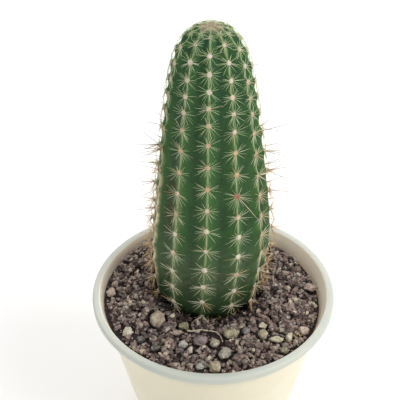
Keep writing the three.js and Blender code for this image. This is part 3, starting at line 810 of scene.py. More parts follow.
# Directions from areoles: turned from up the rib by an angle, then raised from the skin by another,
# both in radians.
def spineWays(own, turn, raised):
    flat = np.cos(raised)
    ways = own["side"] * (np.sin(turn) * flat)[:, None] + own["up"] * (np.cos(turn) * flat)[:, None]
    return ways + own["normal"] * np.sin(raised)[:, None]


# How far an areole is round from the front of the plant: spines there are older, and more golden
# in part as painted glow of light shining through them from behind.
def sideShare(azimuth):
    return smoothStep(np.abs((azimuth + 180) % 360 - 180), *spineShape["sideFrom"])


# Thin straight spines that spread low over the skin from every areole, by the table of their turns.
def makeRadialSpines(frames):
    random = np.random.default_rng(33)
    shape = spineShape
    pairs = [(side * turn, *rest) for turn, *rest in shape["radials"] for side in (-1, 1)]
    table = np.array(pairs + [shape["lowestRadial"]], float)
    areoles = len(frames["spot"])
    angle = np.tile(table[:, 0], areoles)
    missing = np.where(np.abs(angle) < shape["upperTurns"], shape["upperMissing"], shape["missing"])
    keep = random.uniform(size=len(angle)) > missing
    pick = np.repeat(np.arange(areoles), len(table))[keep]
    angle, lift, length = np.tile(table, (areoles, 1))[keep].T
    own = picked(frames, pick)
    count = len(pick)
    age = 1 - np.clip(own["height"] / stemShape["height"], 0, 1)
    beside = sideShare(own["azimuth"])
    turn = np.radians(angle + random.normal(0, shape["wander"], count))
    lift = lift * (0.4 + 0.6 * age) + random.normal(0, shape["liftWander"], count)
    raised = np.radians(lift + shape["sideLift"] * beside * age ** 1.5)
    # Where the stem tucks under, the spines hang down and stand further out.
    hang = 1 - smoothStep(own["height"], *shape["hangHeights"])
    turn += shape["hangTurn"] * hang * (np.sign(turn) * np.pi - turn)
    raised += shape["hangLift"] * hang
    ways = spineWays(own, turn, raised)
    lengths = length * (0.8 + 0.36 * age) * random.uniform(*shape["radialLengths"], count)
    lengths = np.where(pick == reddishAreole(frames), shape["reddishLonger"] * lengths, lengths)
    lengths *= 0.3 + 0.7 * smoothStep(own["distance"], 2, 20)
    feet = own["spot"] + (ways * 0.8 - own["normal"] * 0.1) * own["size"][:, None]
    ways = clearOfSoil(feet, ways, lengths)
    lengths = underTop(feet, ways, lengths)
    bends = random.normal(0, 0.03, (count, 3)) - own["normal"] * random.uniform(0, 0.05, (count, 1))
    radii = shape["radialRadius"] * random.uniform(*shape["radialRadii"], count) * (0.86 + 0.2 * age)
    radii *= 0.8 + 0.2 * smoothStep(own["distance"], 2, 18) - 0.1 * age
    # on the sides the tone turns golden: partly painted glow of light from behind
    tone = 0.03 + 0.31 * age + 0.3 * beside * smoothStep(age, 0.25, 0.7) + random.normal(0, 0.1, count)
    golden = random.uniform(size=count) < 0.2 * smoothStep(age, 0.1, 0.4) * (1.4 - age)
    needles = feet, ways, lengths, radii, bends
    makeNeedles("radialSpines", hornLook, ["cactus"], needles, tone + 0.3 * golden, 4, 4)


# Longer spines that stand out of the older areoles, most of them on the plant's sides and back.
# Then thin brown ones that stand straight out half-way up the sides, and last the long one of the
# reddish areole.
def makeCentralSpines(frames):
    random = np.random.default_rng(34)
    shape = spineShape
    share = frames["height"] / stemShape["height"]
    beside = sideShare(frames["azimuth"])
    inFront, atSide = shape["centralChances"]
    chance = np.where(share < shape["centralBelow"], inFront + atSide * beside, shape["youngChance"])
    golden = np.repeat(np.arange(len(share)), (chance + random.uniform(0, 1, len(share))).astype(int))
    low, high = shape["brownHeights"]
    onSide = (beside > 0.7) & (frames["height"] > low) & (frames["height"] < high)
    brown = np.repeat(np.arange(len(share)), onSide * random.integers(1, 4, len(share)))
    pick = np.concatenate([golden, brown, [reddishAreole(frames)]])
    own = picked(frames, pick)
    beside = beside[pick]
    count, first = len(pick), len(golden)
    turn = random.choice(shape["centralTurns"], count) + random.normal(0, shape["turnSpread"], count)
    turn = np.radians(turn)
    lift = random.normal(*shape["liftSpread"], count) + shape["sideLift"] * beside
    raised = np.radians(np.clip(lift, *shape["liftLimits"]))
    lengths = shape["centralLength"] * random.uniform(*shape["centralLengths"], count)
    radii = shape["centralRadius"] * random.uniform(*shape["centralRadii"], count)
    # on the sides the tone turns golden: partly painted glow of light from behind
    tone = 0.4 + 0.14 * beside + random.normal(0, 0.1, count)
    raised[first:-1] = np.radians(random.uniform(*shape["brownLifts"], len(brown)))
    lengths[first:-1] = shape["brownLength"] * random.uniform(*shape["brownLengths"], len(brown))
    radii[first:-1] = shape["brownRadius"]
    tone[first:-1] = random.uniform(*shape["brownTones"], len(brown))
    turn[-1], raised[-1] = np.radians(shape["longOne"][:2])
    lengths[-1], tone[-1] = shape["longOne"][2], 0.45
    feet = own["spot"] + own["normal"] * 0.1
    ways = clearOfSoil(feet, spineWays(own, turn, raised), lengths)
    lengths = underTop(feet, ways, lengths)
    needles = feet, ways, lengths, radii, random.normal(0, 0.04, (count, 3))
    makeNeedles("centralSpines", hornLook, ["cactus"], needles, tone, 5, 6)


crownShape = {
    "reach": 6.6, "over": 1.6, "spines": 44, "spineLength": (0.8, 1.4), "spineRadius": (0.1, 0.16),
    "hairs": 2900, "hairLength": (0.5, 1.1), "hairRadius": 0.08,
    # the wool is pinkish over the growing point, out to this radius
    "pinkRadius": 2.2,
}


# Feet of needles that crowd over the growing point, out to a reach, and their ways: outwards with
# the distance from the middle, upwards, and at random.
def crownFeet(random, count, outwards, upwards, wild):
    ring = crownShape["reach"] * np.sqrt(random.uniform(0.0, 1, count))
    turn = random.uniform(0, 360, count)
    height = np.interp(ring, crestWidth[:600], crestHeight[:600])
    feet = stemAxis(height) + outward(turn) * (ring * 0.96)[:, None] - [0, 0, 0.4]
    ways = outward(turn) * (outwards * ring)[:, None] + [0, 0, upwards]
    return ring, feet, unit(ways + random.normal(0, wild, (count, 3)))


# Short young spines that stand among the wool.
def makeCrown():
    random = np.random.default_rng(35)
    count = crownShape["spines"]
    _, feet, ways = crownFeet(random, count, 0.1, 0.9, 0.3)
    lengths = underTop(feet, ways, random.uniform(*crownShape["spineLength"], count))
    bends = random.normal(0, 0.04, (count, 3))
    radii = random.uniform(*crownShape["spineRadius"], count)
    needles = feet, ways, lengths, radii, bends
    makeNeedles("crownSpines", hornLook, ["cactus"], needles, random.normal(0.5, 0.25, count), 4, 5)


# Wool over the growing point: fine hairs that point all ways, pinkish in the middle.
def makeCrownWool():
    random = np.random.default_rng(36)
    count = crownShape["hairs"]
    ring, feet, ways = crownFeet(random, count, 0.12, 0.8, 0.6)
    lengths = underTop(feet, ways, random.uniform(*crownShape["hairLength"], count))
    bends = random.normal(0, 0.2, (count, 3)) * [1, 1, 0]
    radii = np.full(count, crownShape["hairRadius"])
    pink, pale = random.normal(0.87, 0.05, count), random.normal(0.25, 0.25, count)
    tone = np.minimum(np.where(ring < crownShape["pinkRadius"], pink, pale), 0.93)
    needles = feet, ways, lengths, radii, bends
    makeNeedles("crownWool", feltLook, ["cactus"], needles, tone, 2, 3)


soilShape = {
    "gap": 0.3, "swell": 0.6, "columns": 240, "rings": 70, "sunk": 1.8, "moat": 3.6, "moatWidth": 4.2,
    # heights, from the soil's level, of the rings that follow the stem's buried foot
    "footRings": (-9.0, -12.0, -15.5, -19.0),
    # lumps of the fines: height in millimetres, length of their waves, number of waves and seed
    "lumps": ((0.45, 3.4, 12, 11), (0.25, 1.6, 12, 12)),
    # each kind of grit: name, corners of the body it is bent from, how many grains, their sizes in
    # millimetres, the seed, and the share that is pale
    "grit": (
        ("soilGrains", 12, 2600, (2.0, 4.8), 41, 0.05),
        ("soilShards", 8, 4800, (1.5, 6.0), 43, 0.04),
        ("soilPebbles", 12, 360, (4.0, 6.2), 42, 0.08),
    ),
    # pale chips that lie in the grit: place, size in millimetres and tone
    "chips": (
        (-0.5, -46.1, 3.8, 0.86), (14.2, -39.8, 3.9, 1.0), (46.7, -20.5, 3.5, 0.82), (-56, -20.5, 4.4, 0.84),
        (-39.6, 1.1, 3.5, 0.95), (-55.6, 15.5, 3.0, 0.8), (-54.6, -27.3, 3.1, 0.8), (-39, -46.3, 3.9, 0.9),
        (-15.9, -57, 3.4, 0.88), (-46, -25.1, 2.6, 0.93), (31.7, -39.9, 2.4, 1.0), (-24.5, -40, 2.6, 0.85),
        (56.5, -9, 3.4, 0.9), (52, 2.5, 3.0, 0.84), (24, -50, 3.2, 0.82), (-49, 12, 2.8, 0.86),
    ),
    # how grains lie: cell and reach of the map of heights, the percent of the map under a grain that
    # is lower than what it rests on, and then, as shares of the grain's half width, how high its
    # middle lies above that and how high its dome rises above its middle
    "mapCell": 0.5, "mapReach": 70, "restsOn": 70, "seatHeight": 0.2, "domeHeight": 0.5,
    # the second and third span of a grain for its first, and the random pull on its corners
    "widths": (0.42, 0.85), "heights": (0.35, 0.7), "jitter": (0.68, 1.25),
    # distances from the stem between which the grit is painted dark, as painted shade round the foot with
    # dead matter on it, and tone of the pale grains
    "dampTo": (4, 13), "paleTones": (0.84, 1),
}

# Dark, damp fines that fill the spaces between the grains: matt, and near black, partly as painted shade in
# the gaps.
finesLook = {
    "name": "soilFines",
    "patterns": {"crumbs": (1.1, 4, 0.7)},
    "base": {"crumbs": ()},
    # the darkest stops stand partly for painted shade between the grains
    "stops": ((0.3, "#120c0b"), (0.55, "#2b2020"), (0.72, "#574741"), (0.82, "#7d6c62")),
    "rough": 0.95,
    "relief": ("crumbs", 0.5, 1.0),
}

# Crushed volcanic grit, dull and pitted: each grain has its own tone, from dark purplish brown
# through grey to pale pumice, with lighter dust on it.
gritLook = {
    "name": "crushedGrit",
    "patterns": {"pits": (0.6, 4, 0.7), "dust": (1.6, 3, 0.5)},
    "base": {"tone": ()},
    "stops": (
        (0, "#1b1313"), (0.14, "#5d4d4b"), (0.3, "#86716c"), (0.4, "#a0887e"), (0.5, "#928e87"),
        (0.6, "#a5918a"), (0.7, "#b9a79d"), (0.8, "#aaa79b"), (0.9, "#cfc0a8"), (1, "#e6ddc8"),
    ),
    "covers": (
        ("#8d7d78", {"pits": (0.38, 0.62, 0, 0.7)}, "MULTIPLY"),
        ("#bcaa9c", {"dust": (0.5, 0.75, 0, 0.4), "tone": (0.1, 0.4, 0, 1)}),
    ),
    "rough": 0.9,
    "relief": ("pits", 0.3, 1.0),
}


# Middle of the stem's foot, level.
def footPlace():
    return np.array([stemShape["footX"], stemShape["footY"]])


# Radius of the stem's outline at a height towards an azimuth, with a small gap.
def stemOutline(azimuth, height):
    azimuths = ribAzimuths()
    turned = (azimuth - azimuths[0] - stemShape["twist"] * height / stemShape["height"]) % 360 + azimuths[0]
    rib = np.clip(np.searchsorted(azimuths, turned, side="right") - 1, 0, stemShape["ribs"] - 1)
    place = (turned - azimuths[rib]) / (azimuths[rib + 1] - azimuths[rib])
    across = 1 - np.abs(1 - 2 * place)
    return crestRadius(np.full_like(azimuth, height)) * (1 - ribDepth(across, height)) + soilShape["gap"]


# How far the pot's inner wall is from the stem's foot towards an azimuth, at a height: where a
# line from the foot meets the wall's circle.
def wallFromStem(azimuth, z):
    foot = footPlace()
    limit = innerRadius(z) - soilShape["gap"]
    middle = outward(azimuth)[..., :2] @ foot
    return -middle + np.sqrt(middle ** 2 + limit ** 2 - foot @ foot)


# Where the surface of the soil meets the wall towards an azimuth, a little under its level.
def soilEdge(azimuth, under=0.0):
    across = outward(azimuth)[..., 0] * 64
    return wallFromStem(azimuth, soilLevel(across) - soilShape["sunk"] - under)


# Distance from the stem's foot, which is round at soil level.
def fromFoot(x, y):
    return np.hypot(x - stemShape["footX"], y - stemShape["footY"]) - crestRadius(np.zeros(1))[0]


# Height of the fines: the soil's level with a slow rise and fall, and a hollow round the stem's foot.
def soilSurface(x, y):
    slow = soilShape["swell"] * np.sin(x / 13 + 1) * np.cos(y / 16)
    hollow = soilShape["moat"] * np.exp(-(np.maximum(fromFoot(x, y), 0) / soilShape["moatWidth"]) ** 2)
    return soilLevel(x) - soilShape["sunk"] + slow - hollow


# The fines: rings round the foot, from the pot's floor up its wall, over the lumpy surface to the
# stem, and down its foot.
def makeSoilBed():
    shape = soilShape
    azimuth = np.arange(shape["columns"]) * 360 / shape["columns"]
    foot = np.append(footPlace(), 0)

    def ring(radius, z):  # a ring round the foot: the azimuth's way times its radius, at a height
        return foot + outward(azimuth) * radius[:, None] + [0, 0, z]

    floorZ = potShape["footHeight"] + potShape["floor"] + shape["gap"]
    rings = [ring(wallFromStem(azimuth, z), z) for z in np.linspace(floorZ, innerKink(), 12)]
    inner = stemOutline(azimuth, 0.0)
    outer = soilEdge(azimuth, 0.8)
    for share in np.linspace(0, 1, shape["rings"]):
        spot = ring(between(outer, inner, share), 0)
        spot[:, 2] = soilSurface(spot[:, 0], spot[:, 1])
        rough = sum(tall * ripple(spot, *waves) for tall, *waves in shape["lumps"])
        spot[:, 2] += rough * (0.2 if share == 0 else 1)  # smoother where it meets the wall
        rings.append(spot)
    rings += [ring(stemOutline(azimuth, deep), stemShape["soilZ"] + deep) for deep in shape["footRings"]]
    bottom = foot + [0, 0, floorZ]
    top = foot + [0, 0, stemShape["soilZ"] - stemShape["buried"] - 3]
    points = np.concatenate([[bottom], *rings, [top]])
    faces = ringFaces(len(rings), shape["columns"])
    makePiece("soilBed", points, faces, makeMaterial(finesLook), ["soil"], {})


# The corners and faces of an icosahedron or a cube, with the corners at distance 1. The icosahedron's
# faces are all the trios of corners that are near each other, turned outward.
def plainBody(cornerCount):
    if cornerCount == 8:
        corners = unit(np.array(list(itertools.product((-1.0, 1.0), repeat=3))))
        sides = [(0, 1, 3, 2), (4, 6, 7, 5), (0, 4, 5, 1), (2, 3, 7, 6), (0, 2, 6, 4), (1, 5, 7, 3)]
        return corners, np.array([trio for a, b, c, d in sides for trio in ((a, b, c), (a, c, d))])
    long = (1 + math.sqrt(5)) / 2
    corners = []
    for a, b in ((-1, -long), (1, -long), (-1, long), (1, long)):
        corners += [(a, b, 0), (0, a, b), (b, 0, a)]
    corners = unit(np.array(corners))
    faces = []
    for i, j, k in itertools.combinations(range(12), 3):
        trio = corners[[i, j, k]]
        if np.linalg.norm(trio - np.roll(trio, 1, axis=0), axis=1).max() < 1.2:
            outer = np.cross(trio[1] - trio[0], trio[2] - trio[0]) @ trio.mean(axis=0)
            faces.append((i, j, k) if outer > 0 else (i, k, j))
    return corners, np.array(faces)


# Matrices that turn by some angles in the plane of two axes.
def turnsIn(angle, first, second):
    turn = np.tile(np.eye(3), (len(angle), 1, 1))
    turn[:, first, first] = turn[:, second, second] = np.cos(angle)
    turn[:, first, second], turn[:, second, first] = -np.sin(angle), np.sin(angle)
    return turn


# Turns of bodies that lie on their flat side: each is turned at random, tipped a little, and
# turned again about the upright axis.
def lyingTurns(random, count):
    first, last = random.uniform(0, 2 * np.pi, count), random.uniform(0, 2 * np.pi, count)
    tip = turnsIn(random.normal(0, 0.45, count), 1, 2)
    return turnsIn(first, 0, 1) @ tip @ turnsIn(last, 0, 1)


# Names, middles and spans of the larger stones' boxes, which the grains keep clear of.
def stoneBoxes():
    names = sorted(name for name in frame["nodes"] if name.startswith("stone_"))
    low, high = (np.array([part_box(name)[end] for name in names]) / mm for end in (0, 1))
    return names, (low + high) / 2, high - low


# The open gap that the grains leave round the stem's foot: uneven, as a sum of two sine waves.
def footGap(azimuth):
    turn = np.radians(azimuth)
    return np.maximum(1.7 + 1.2 * np.sin(3 * turn + 0.8) + 0.9 * np.sin(7 * turn + 2.0), 0.2)


# Grains fall one after another onto a map of heights, so that they lie on each other: each rests
# on most of what lies under it, and then raises the map by a flat dome.
def settle(size, seats):
    shape = soilShape
    cell, reach = shape["mapCell"], shape["mapReach"]
    cells = int(2 * reach / cell)
    axis = (np.arange(cells) + 0.5) * cell - reach
    heights = soilSurface(axis[:, None], axis[None])
    z = np.zeros(len(seats))
    for index, (x, y) in enumerate(seats):
        half = size[index] / 2
        i0, i1 = int((x - half + reach) / cell), int((x + half + reach) / cell) + 1
        j0, j1 = int((y - half + reach) / cell), int((y + half + reach) / cell) + 1
        under = (half * 0.95) ** 2 - (axis[i0:i1, None] - x) ** 2 - (axis[None, j0:j1] - y) ** 2
        inside = under > 0
        patch = heights[i0:i1, j0:j1]
        z[index] = np.percentile(patch[inside], shape["restsOn"]) + shape["seatHeight"] * half
        dome = z[index] + shape["domeHeight"] * np.sqrt(np.maximum(under, 0))
        dome = np.where(inside, dome, -np.inf)
        heights[i0:i1, j0:j1] = np.maximum(patch, dome)
    return z


# Loose grains: bent copies of one small body, each turned, squashed and toned at random. chips are
# grains with a place, size and tone of their own, which are laid first.
def makeGrit(name, corners, faces, count, sizes, seed, pale, chips):
    random = np.random.default_rng(seed)
    shape = soilShape
    size = between(*sizes, random.beta(1.3, 2.0, count))
    azimuth = random.uniform(0, 360, count)
    inner = stemOutline(azimuth, 0.0) + size * 0.45 + footGap(azimuth)
    outer = soilEdge(azimuth) - size * 0.52
    radius = np.sqrt(between(inner ** 2, outer ** 2, random.uniform(0, 1, count)))
    seats = footPlace() + outward(azimuth)[:, :2] * radius[:, None]
    # The ring of soil is wider on one side of the stem, and its share of grains grows with its area.
    share = (outer ** 2 - inner ** 2) / (outer ** 2 - inner ** 2).max()
    _, middles, spans = stoneBoxes()
    near = np.abs(seats[:, None] - middles[:, :2]) / (spans[:, :2] / 2 + size[:, None, None] * 0.5)
    onStone = (np.sum(near ** 2, axis=-1) < 1).any(axis=1)
    offRoot = np.linalg.norm(seats[:, None] - rootletRun()[::4], axis=-1).min(axis=1)
    keep = (random.uniform(size=count) < share) & ~onStone & (offRoot > size * 0.42 + 0.5)
    # Grains close to the stem are painted dark: painted shade round the foot, and dead matter lies on them.
    away = fromFoot(seats[:, 0], seats[:, 1]) + random.normal(0, 2.0, count)
    clearOfShadeAndLitter = smoothStep(away, *shape["dampTo"])
    tone = random.beta(1.4, 1.6, count) * 0.95 * clearOfShadeAndLitter
    bright = random.uniform(size=count) < pale * clearOfShadeAndLitter
    tone = np.where(bright, random.uniform(*shape["paleTones"], count), tone)
    own = np.array(chips, float).reshape(-1, 4)
    seats = np.concatenate([own[:, :2], seats[keep]])
    size = np.concatenate([own[:, 2], size[keep]])
    tone = np.concatenate([own[:, 3], tone[keep]])
    count, each = len(size), len(corners)
    z = settle(size, seats)
    jitter = random.uniform(*shape["jitter"], (count, each, 1))
    squash = [np.ones(count), *(random.uniform(*shape[span], count) for span in ("widths", "heights"))]
    bodies = corners * jitter * np.stack(squash, axis=-1)[:, None] * (size / 2)[:, None, None]
    bodies = np.einsum("nij,nkj->nki", lyingTurns(random, count), bodies)
    points = bodies + np.column_stack([seats, z])[:, None]
    makePiece(
        name, points.reshape(-1, 3), copiedFaces([faces], each, count), makeMaterial(gritLook),
        [], {"tone": np.repeat(tone, each)}, smooth=False,
    )


litterShape = {
    "fallenSpines": 260, "spineRadius": 0.12, "mostAt": (-95, -25), "mostShare": 0.4,
    # dry grass: middle of the tuft, reach, number of blades, and blade radius
    "grass": (49.5, -33.0), "grassReach": 8.5, "blades": 24, "bladeRadius": 0.11,
    # radii that the roots of the grass and all the tips stay within
    "rootsWithin": 59, "tipsWithin": 62,
}


# Litter on the grit: spines that fell round the stem's foot, and a tuft of dry grass by the rim.
def makeLitter():
    random = np.random.default_rng(61)
    shape = litterShape
    azimuth = random.uniform(0, 360, shape["fallenSpines"])
    most = random.uniform(*shape["mostAt"], shape["fallenSpines"])
    azimuth = np.where(random.uniform(size=len(azimuth)) < shape["mostShare"], most, azimuth)
    radius = stemOutline(azimuth, 0.0) + random.gamma(1.4, 2.4, len(azimuth)) + 0.8
    radius = np.minimum(radius, soilEdge(azimuth) - 8)
    fallen = footPlace() + outward(azimuth)[:, :2] * radius[:, None]
    blown = np.array(shape["grass"]) + random.normal(0, 0.45, (shape["blades"], 2)) * shape["grassReach"]
    blown = blown * np.minimum(1, shape["rootsWithin"] / np.linalg.norm(blown, axis=1))[:, None]
    seats = np.concatenate([fallen, blown])
    count = len(seats)
    feet = np.column_stack([seats, soilSurface(seats[:, 0], seats[:, 1]) + random.uniform(1.3, 2.0, count)])
    turn = random.uniform(0, 2 * np.pi, count)
    grass = np.arange(count) >= len(fallen)
    rise = np.where(grass, random.uniform(-0.05, 0.22, count), random.uniform(-0.05, 0.7, count))
    ways = unit(np.column_stack([np.cos(turn), np.sin(turn), rise]))
    lengths = np.where(grass, random.uniform(3, 8, count), random.uniform(3, 6.5, count))
    tips = feet + ways * lengths[:, None]
    inside = np.linalg.norm(tips[:, :2], axis=1) < shape["tipsWithin"]
    ways = np.where(inside[:, None], ways, ways * [-1, -1, 1])
    bends = random.normal(0, 1, (count, 3)) * np.where(grass, 0.22, 0.03)[:, None] * [1, 1, 0.3]
    radii = np.where(grass, shape["bladeRadius"], shape["spineRadius"])
    tone = np.where(grass, random.normal(0.5, 0.2, count), random.normal(0.5, 0.15, count))
    makeNeedles("dryLitter", hornLook, [], (feet, ways, lengths, radii, bends), tone, 5, 5)


# The kinds of stone: name of the finish, then its lighter patches, darker patches and pits.
stoneKinds = {
    "pink_stone": ("paleSandstone", "#cdb9a6", "#92796b", "#6f5a50"),
    "cream_stone": ("creamPumice", "#ddd5c2", "#9f9178", "#7c6f5a"),
    "olive_stone": ("weatheredTuff", "#b5ad8d", "#777059", "#57503e"),
    "mauve_stone": ("mauveLava", "#9c8c85", "#5f504e", "#40343a"),
    "grey_stone": ("greyBasalt", "#b9b4a8", "#77726b", "#55514e"),
}

# The tint of each stone.
stoneTints = {
    "stone_block": "#a69d88", "stone_left": "#c4bca8", "stone_olive": "#8f886f", "stone_flat": "#aca092",
    "stone_mauve": "#958883", "stone_mid": "#a59b8b", "stone_pale": "#c0bcb2", "stone_thin": "#c8c0b6",
    "stone_clod": "#b2aa9a", "stone_front": "#ada088", "stone_white": "#b9b8ab", "stone_rough": "#aba18b",
    "stone_blue": "#7c7875", "stone_right": "#aba08a", "stone_beside": "#c2b89c", "stone_long": "#cbc5a8",
    "stone_upright": "#c9c2ae", "stone_pink": "#cebbad", "stone_yellow": "#a6a086", "stone_slab": "#a5958c",
    "stone_brown": "#7f6c5e", "stone_wall": "#c2b1a3", "stone_edge": "#948779", "stone_slate": "#55524a",
    "stone_side": "#6c6b6a", "stone_back_a": "#7a6b68", "stone_back_b": "#b8ae98", "stone_back_c": "#b09d90",
    "stone_back_d": "#8d8983",
}

stoneShape = {
    "rows": 32, "columns": 44,
    # more flats than the solid has: how many, and where they lie as a share of its reach
    "brokenFlats": 4, "brokenAt": 0.84,
    # how much larger the stone is than its solid before its edges are worn, and how sharp they stay
    "grow": 1.07, "sharp": 90,
    # fine lumps: height in millimetres, length of their waves, number of waves and seed
    "lumps": ((0.2, 2.6, 10, 51), (0.14, 1.0, 12, 52)),
}


# A loose stone of one kind, broken rather than worn, so it is matt: its own tint, in lighter and
# darker patches of some millimetres, with fine pits of a third tone.
def stoneLook(name, light, dark, speck):
    return {
        "name": name,
        "patterns": {"patches": (2.2, 5, 0.65), "pits": (0.5, 4, 0.7)},
        "base": "tint",
        "covers": (
            (light, {"patches": (0.5, 0.62, 0, 0.8)}),
            (dark, {"patches": (0.38, 0.5, 0.65, 0)}),
            (speck, {"pits": (0.5, 0.64, 0, 0.6)}),
        ),
        "rough": 0.9,
        "shader": {"Specular IOR Level": 0.25},
        "relief": ("pits", 0.5, 1.0),
    }


# A stone's surface round its middle, from flats given by their ways and depths. Towards any
# direction the radius is a soft minimum of the distances at which it meets the flats, so that the
# edges between them are only a little worn.
def stoneSurface(flats, depths):
    rows, columns = stoneShape["rows"], stoneShape["columns"]
    polar = np.linspace(0, np.pi, rows + 2)[1:-1, None]
    angle = roundAngles(columns)
    level = np.sin(polar)
    ways = np.stack([level * np.cos(angle), level * np.sin(angle), -np.cos(polar) + 0 * angle], axis=-1)
    ways = np.concatenate([[[0, 0, -1]], ways.reshape(-1, 3), [[0, 0, 1]]])
    facing = np.clip(ways @ flats.T, 1e-3, None) / depths
    sharp = stoneShape["sharp"]
    return ways * (np.sum(facing ** sharp, axis=1) ** (-1 / sharp))[:, None]


# The stones: each keeps the flats of its solid, a few more are broken off, and the surface gets
# fine lumps of its own.
def makeStones():
    shape = stoneShape
    materials = {kind: makeMaterial(stoneLook(*look)) for kind, look in stoneKinds.items()}
    slots = {part["node"]: part["material_slot"] for part in frame["record"]["subparts"]}
    for index, name in enumerate(stoneBoxes()[0]):
        solid = frame["nodes"][name].data
        corners = np.array([vertex.co for vertex in solid.vertices]) / mm
        flats = np.array([face.normal for face in solid.polygons])
        onFlat = np.array([solid.vertices[face.vertices[0]].co for face in solid.polygons]) / mm
        middle = (corners.min(axis=0) + corners.max(axis=0)) / 2
        depths = np.sum((onFlat - middle) * flats, axis=1)
        broken = unit(np.random.default_rng(500 + index).normal(size=(shape["brokenFlats"], 3)))
        reach = ((corners - middle) @ broken.T).max(axis=0)
        depths = shape["grow"] * np.concatenate([depths, shape["brokenAt"] * reach])
        surface = stoneSurface(np.concatenate([flats, broken]), depths)
        shifted = surface + 40 * index
        rough = sum(tall * ripple(shifted, *waves) for tall, *waves in shape["lumps"])
        surface = surface * (1 + rough / np.linalg.norm(surface, axis=1))[:, None] + middle
        tint = np.tile(colour(stoneTints[name]), (len(surface), 1))
        faces, kind = ringFaces(shape["rows"], shape["columns"]), slots[name]
        title = "loose" + name.title().replace("_", "")
        makePiece(title, surface, faces, materials[kind], [name], {"tint": tint})


rootletShape = {
    "path": (
        (-14.4, -31.1), (-11.1, -31.1), (-6.9, -30.1), (-2.6, -30.5), (1.6, -31.5), (4.1, -34.5), (5.4, -39),
    ),
    "radius": 0.55, "sides": 10, "steps": 120, "above": 0.75, "wave": 0.22, "thinning": 0.6,
}

# A dry root, thin and woody: its bark is matt, in lighter and darker tans.
rootLook = {
    "name": "dryRoot",
    "patterns": {"bark": (1.2, 4, 0.6)},
    "base": {"bark": ()},
    "stops": ((0.35, "#8f7f68"), (0.52, "#bcae96"), (0.68, "#ddd1bd")),
    "rough": 0.8,
    "relief": ("bark", 0.15, 0.8),
}


# The rootlet's way over the soil: a smooth curve through the points of its path, as Catmull and Rom
# blend them, each stretch a cubic of the two points that it joins and their two neighbours.
def rootletRun():
    path = np.array(rootletShape["path"], float)
    ends = np.concatenate([[2 * path[0] - path[1]], path, [2 * path[-1] - path[-2]]])
    where = np.linspace(0, len(path) - 1.0001, rootletShape["steps"])
    index = where.astype(int)
    t = (where - index)[:, None]
    a, b, c, d = (ends[index + shift] for shift in range(4))
    square, cube = 2 * a - 5 * b + 4 * c - d, 3 * b - a - 3 * c + d
    return 0.5 * (2 * b + (c - a) * t + square * t ** 2 + cube * t ** 3)


# The rootlet: rings carried along its run, square on it, that wave a little up and sideways. Their
# girth thins out along the run, with small knots.
def makeRootlet():
    shape = rootletShape
    flat = rootletRun()
    share = np.linspace(0, 1, shape["steps"])
    wave = shape["wave"] * np.sin(share * 31) * np.sin(share * 9 + 1)
    level = soilLevel(flat[:, 0]) + shape["above"] + 0.25 * wave
    path = np.stack([flat[:, 0], flat[:, 1] + wave * 0.5, level], axis=-1)
    girth = shape["radius"] * (1 - shape["thinning"] * share) * (1 + 0.12 * np.sin(share * 47))
    girth[[0, -1]] *= 0.4
    ahead = unit(np.gradient(path, axis=0))
    side = unit(np.cross(ahead, [0, 0, 1.0]))
    over = np.cross(ahead, side)
    angle = roundAngles(shape["sides"])[:, None]
    spoke = side[:, None] * np.cos(angle) + over[:, None] * np.sin(angle)
    rings = path[:, None] + spoke * girth[:, None, None]
    points = np.concatenate([path[:1], rings.reshape(-1, 3), path[-1:]])
    faces = ringFaces(shape["steps"], shape["sides"])
    makePiece("dryRootlet", points, faces, makeMaterial(rootLook), ["rootlet"], {})


roomLook = {
    "half": 4.0, "world": 0.87, "aim": (0, 0, 0.18),
    # name, place in metres, size in metres, power in watts, colour
    "lights": (
        ("softboxRight", (1.0, -0.5, 1.1), 0.9, 12.0, "#ffffff"),
        ("softboxBack", (0.1, 1.2, 1.1), 1.6, 12.0, "#fffdf8"),
    ),
}

# The white board that the pot stands on: matt and plain, so that it only carries the shadows.
floorLook = {"name": "paleFloor", "base": "#ececec", "rough": 0.8}

# lens in millimetres, place behind and above the pot's rim in millimetres, and angles in degrees
cameraLook = {
    "lens": 72.0, "back": 347.3, "aboveRim": 316.1, "down": 36.12, "turn": 1.14, "roll": 0.70,
}


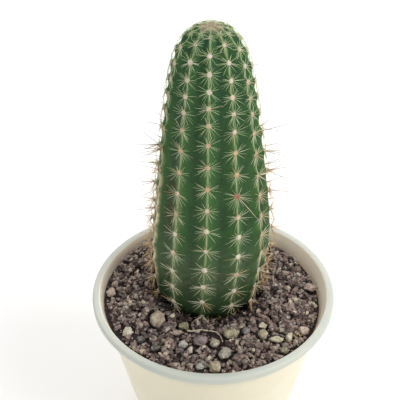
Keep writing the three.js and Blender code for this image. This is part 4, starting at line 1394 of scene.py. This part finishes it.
# The room: a floor, an even white world and two softboxes that are aimed at the plant.
def makeRoom():
    corners = np.array([(-1, -1, 0), (1, -1, 0), (1, 1, 0), (-1, 1, 0)]) * roomLook["half"] / mm
    mesh = newMesh("floor", corners, [np.array([[0, 1, 2, 3]])])
    mesh.materials.append(makeMaterial(floorLook))
    floor = newObject("floor", mesh)
    world = bpy.data.worlds.new("softWhite")
    world.use_nodes = True
    back = world.node_tree.nodes["Background"]
    back.inputs["Color"].default_value = (1, 1, 1, 1)
    back.inputs["Strength"].default_value = roomLook["world"]
    bpy.context.scene.world = world
    for name, place, size, power, tint in roomLook["lights"]:
        lamp = bpy.data.lights.new(name, "AREA")
        lamp.shape = "DISK"
        lamp.size = size
        lamp.energy = power
        lamp.color = colour(tint)[:3]
        light = newObject(name, lamp)
        light.location = place
        aim = Vector(roomLook["aim"]) - Vector(place)
        light.rotation_euler = aim.to_track_quat("-Z", "Y").to_euler()
    bpy.context.scene.view_settings.view_transform = "Standard"
    bpy.context.scene.view_settings.look = "None"


# The camera looks at the pot from the front and above: turned, tipped down, then rolled.
def makeCamera():
    look = cameraLook
    turn, down, roll = (math.radians(look[key]) for key in ("turn", "down", "roll"))
    right = Vector((math.cos(turn), math.sin(turn), 0))
    ahead = Vector((-math.sin(turn), math.cos(turn), 0)) * math.cos(down) - Vector((0, 0, math.sin(down)))
    up = right.cross(ahead)
    side = right * math.cos(roll) - up * math.sin(roll)
    over = right * math.sin(roll) + up * math.cos(roll)
    data = bpy.data.cameras.new("camera")
    data.lens = look["lens"]
    data.sensor_width = 36
    data.clip_start = 0.01
    camera = newObject("camera", data)
    pose = Matrix((side, over, -ahead)).transposed().to_4x4()
    pose.translation = Vector((0, -look["back"], potShape["height"] + look["aboveRim"])) * mm
    camera.matrix_world = pose
    bpy.context.scene.camera = camera


makeCamera()
makeRoom()
print("room and camera are ready")
makePot()
print("the pot is done")
makeStem()
frames = areoleFrames()
makeFelt(frames)
makeWool(frames)
makeRadialSpines(frames)
makeCentralSpines(frames)
makeCrown()
makeCrownWool()
print("the cactus is done")
makeSoilBed()
for name, cornerCount, *settings in soilShape["grit"]:
    chips = soilShape["chips"] if name == "soilPebbles" else ()
    makeGrit(name, *plainBody(cornerCount), *settings, chips)
makeLitter()
makeStones()
makeRootlet()
print("soil and stones are done")
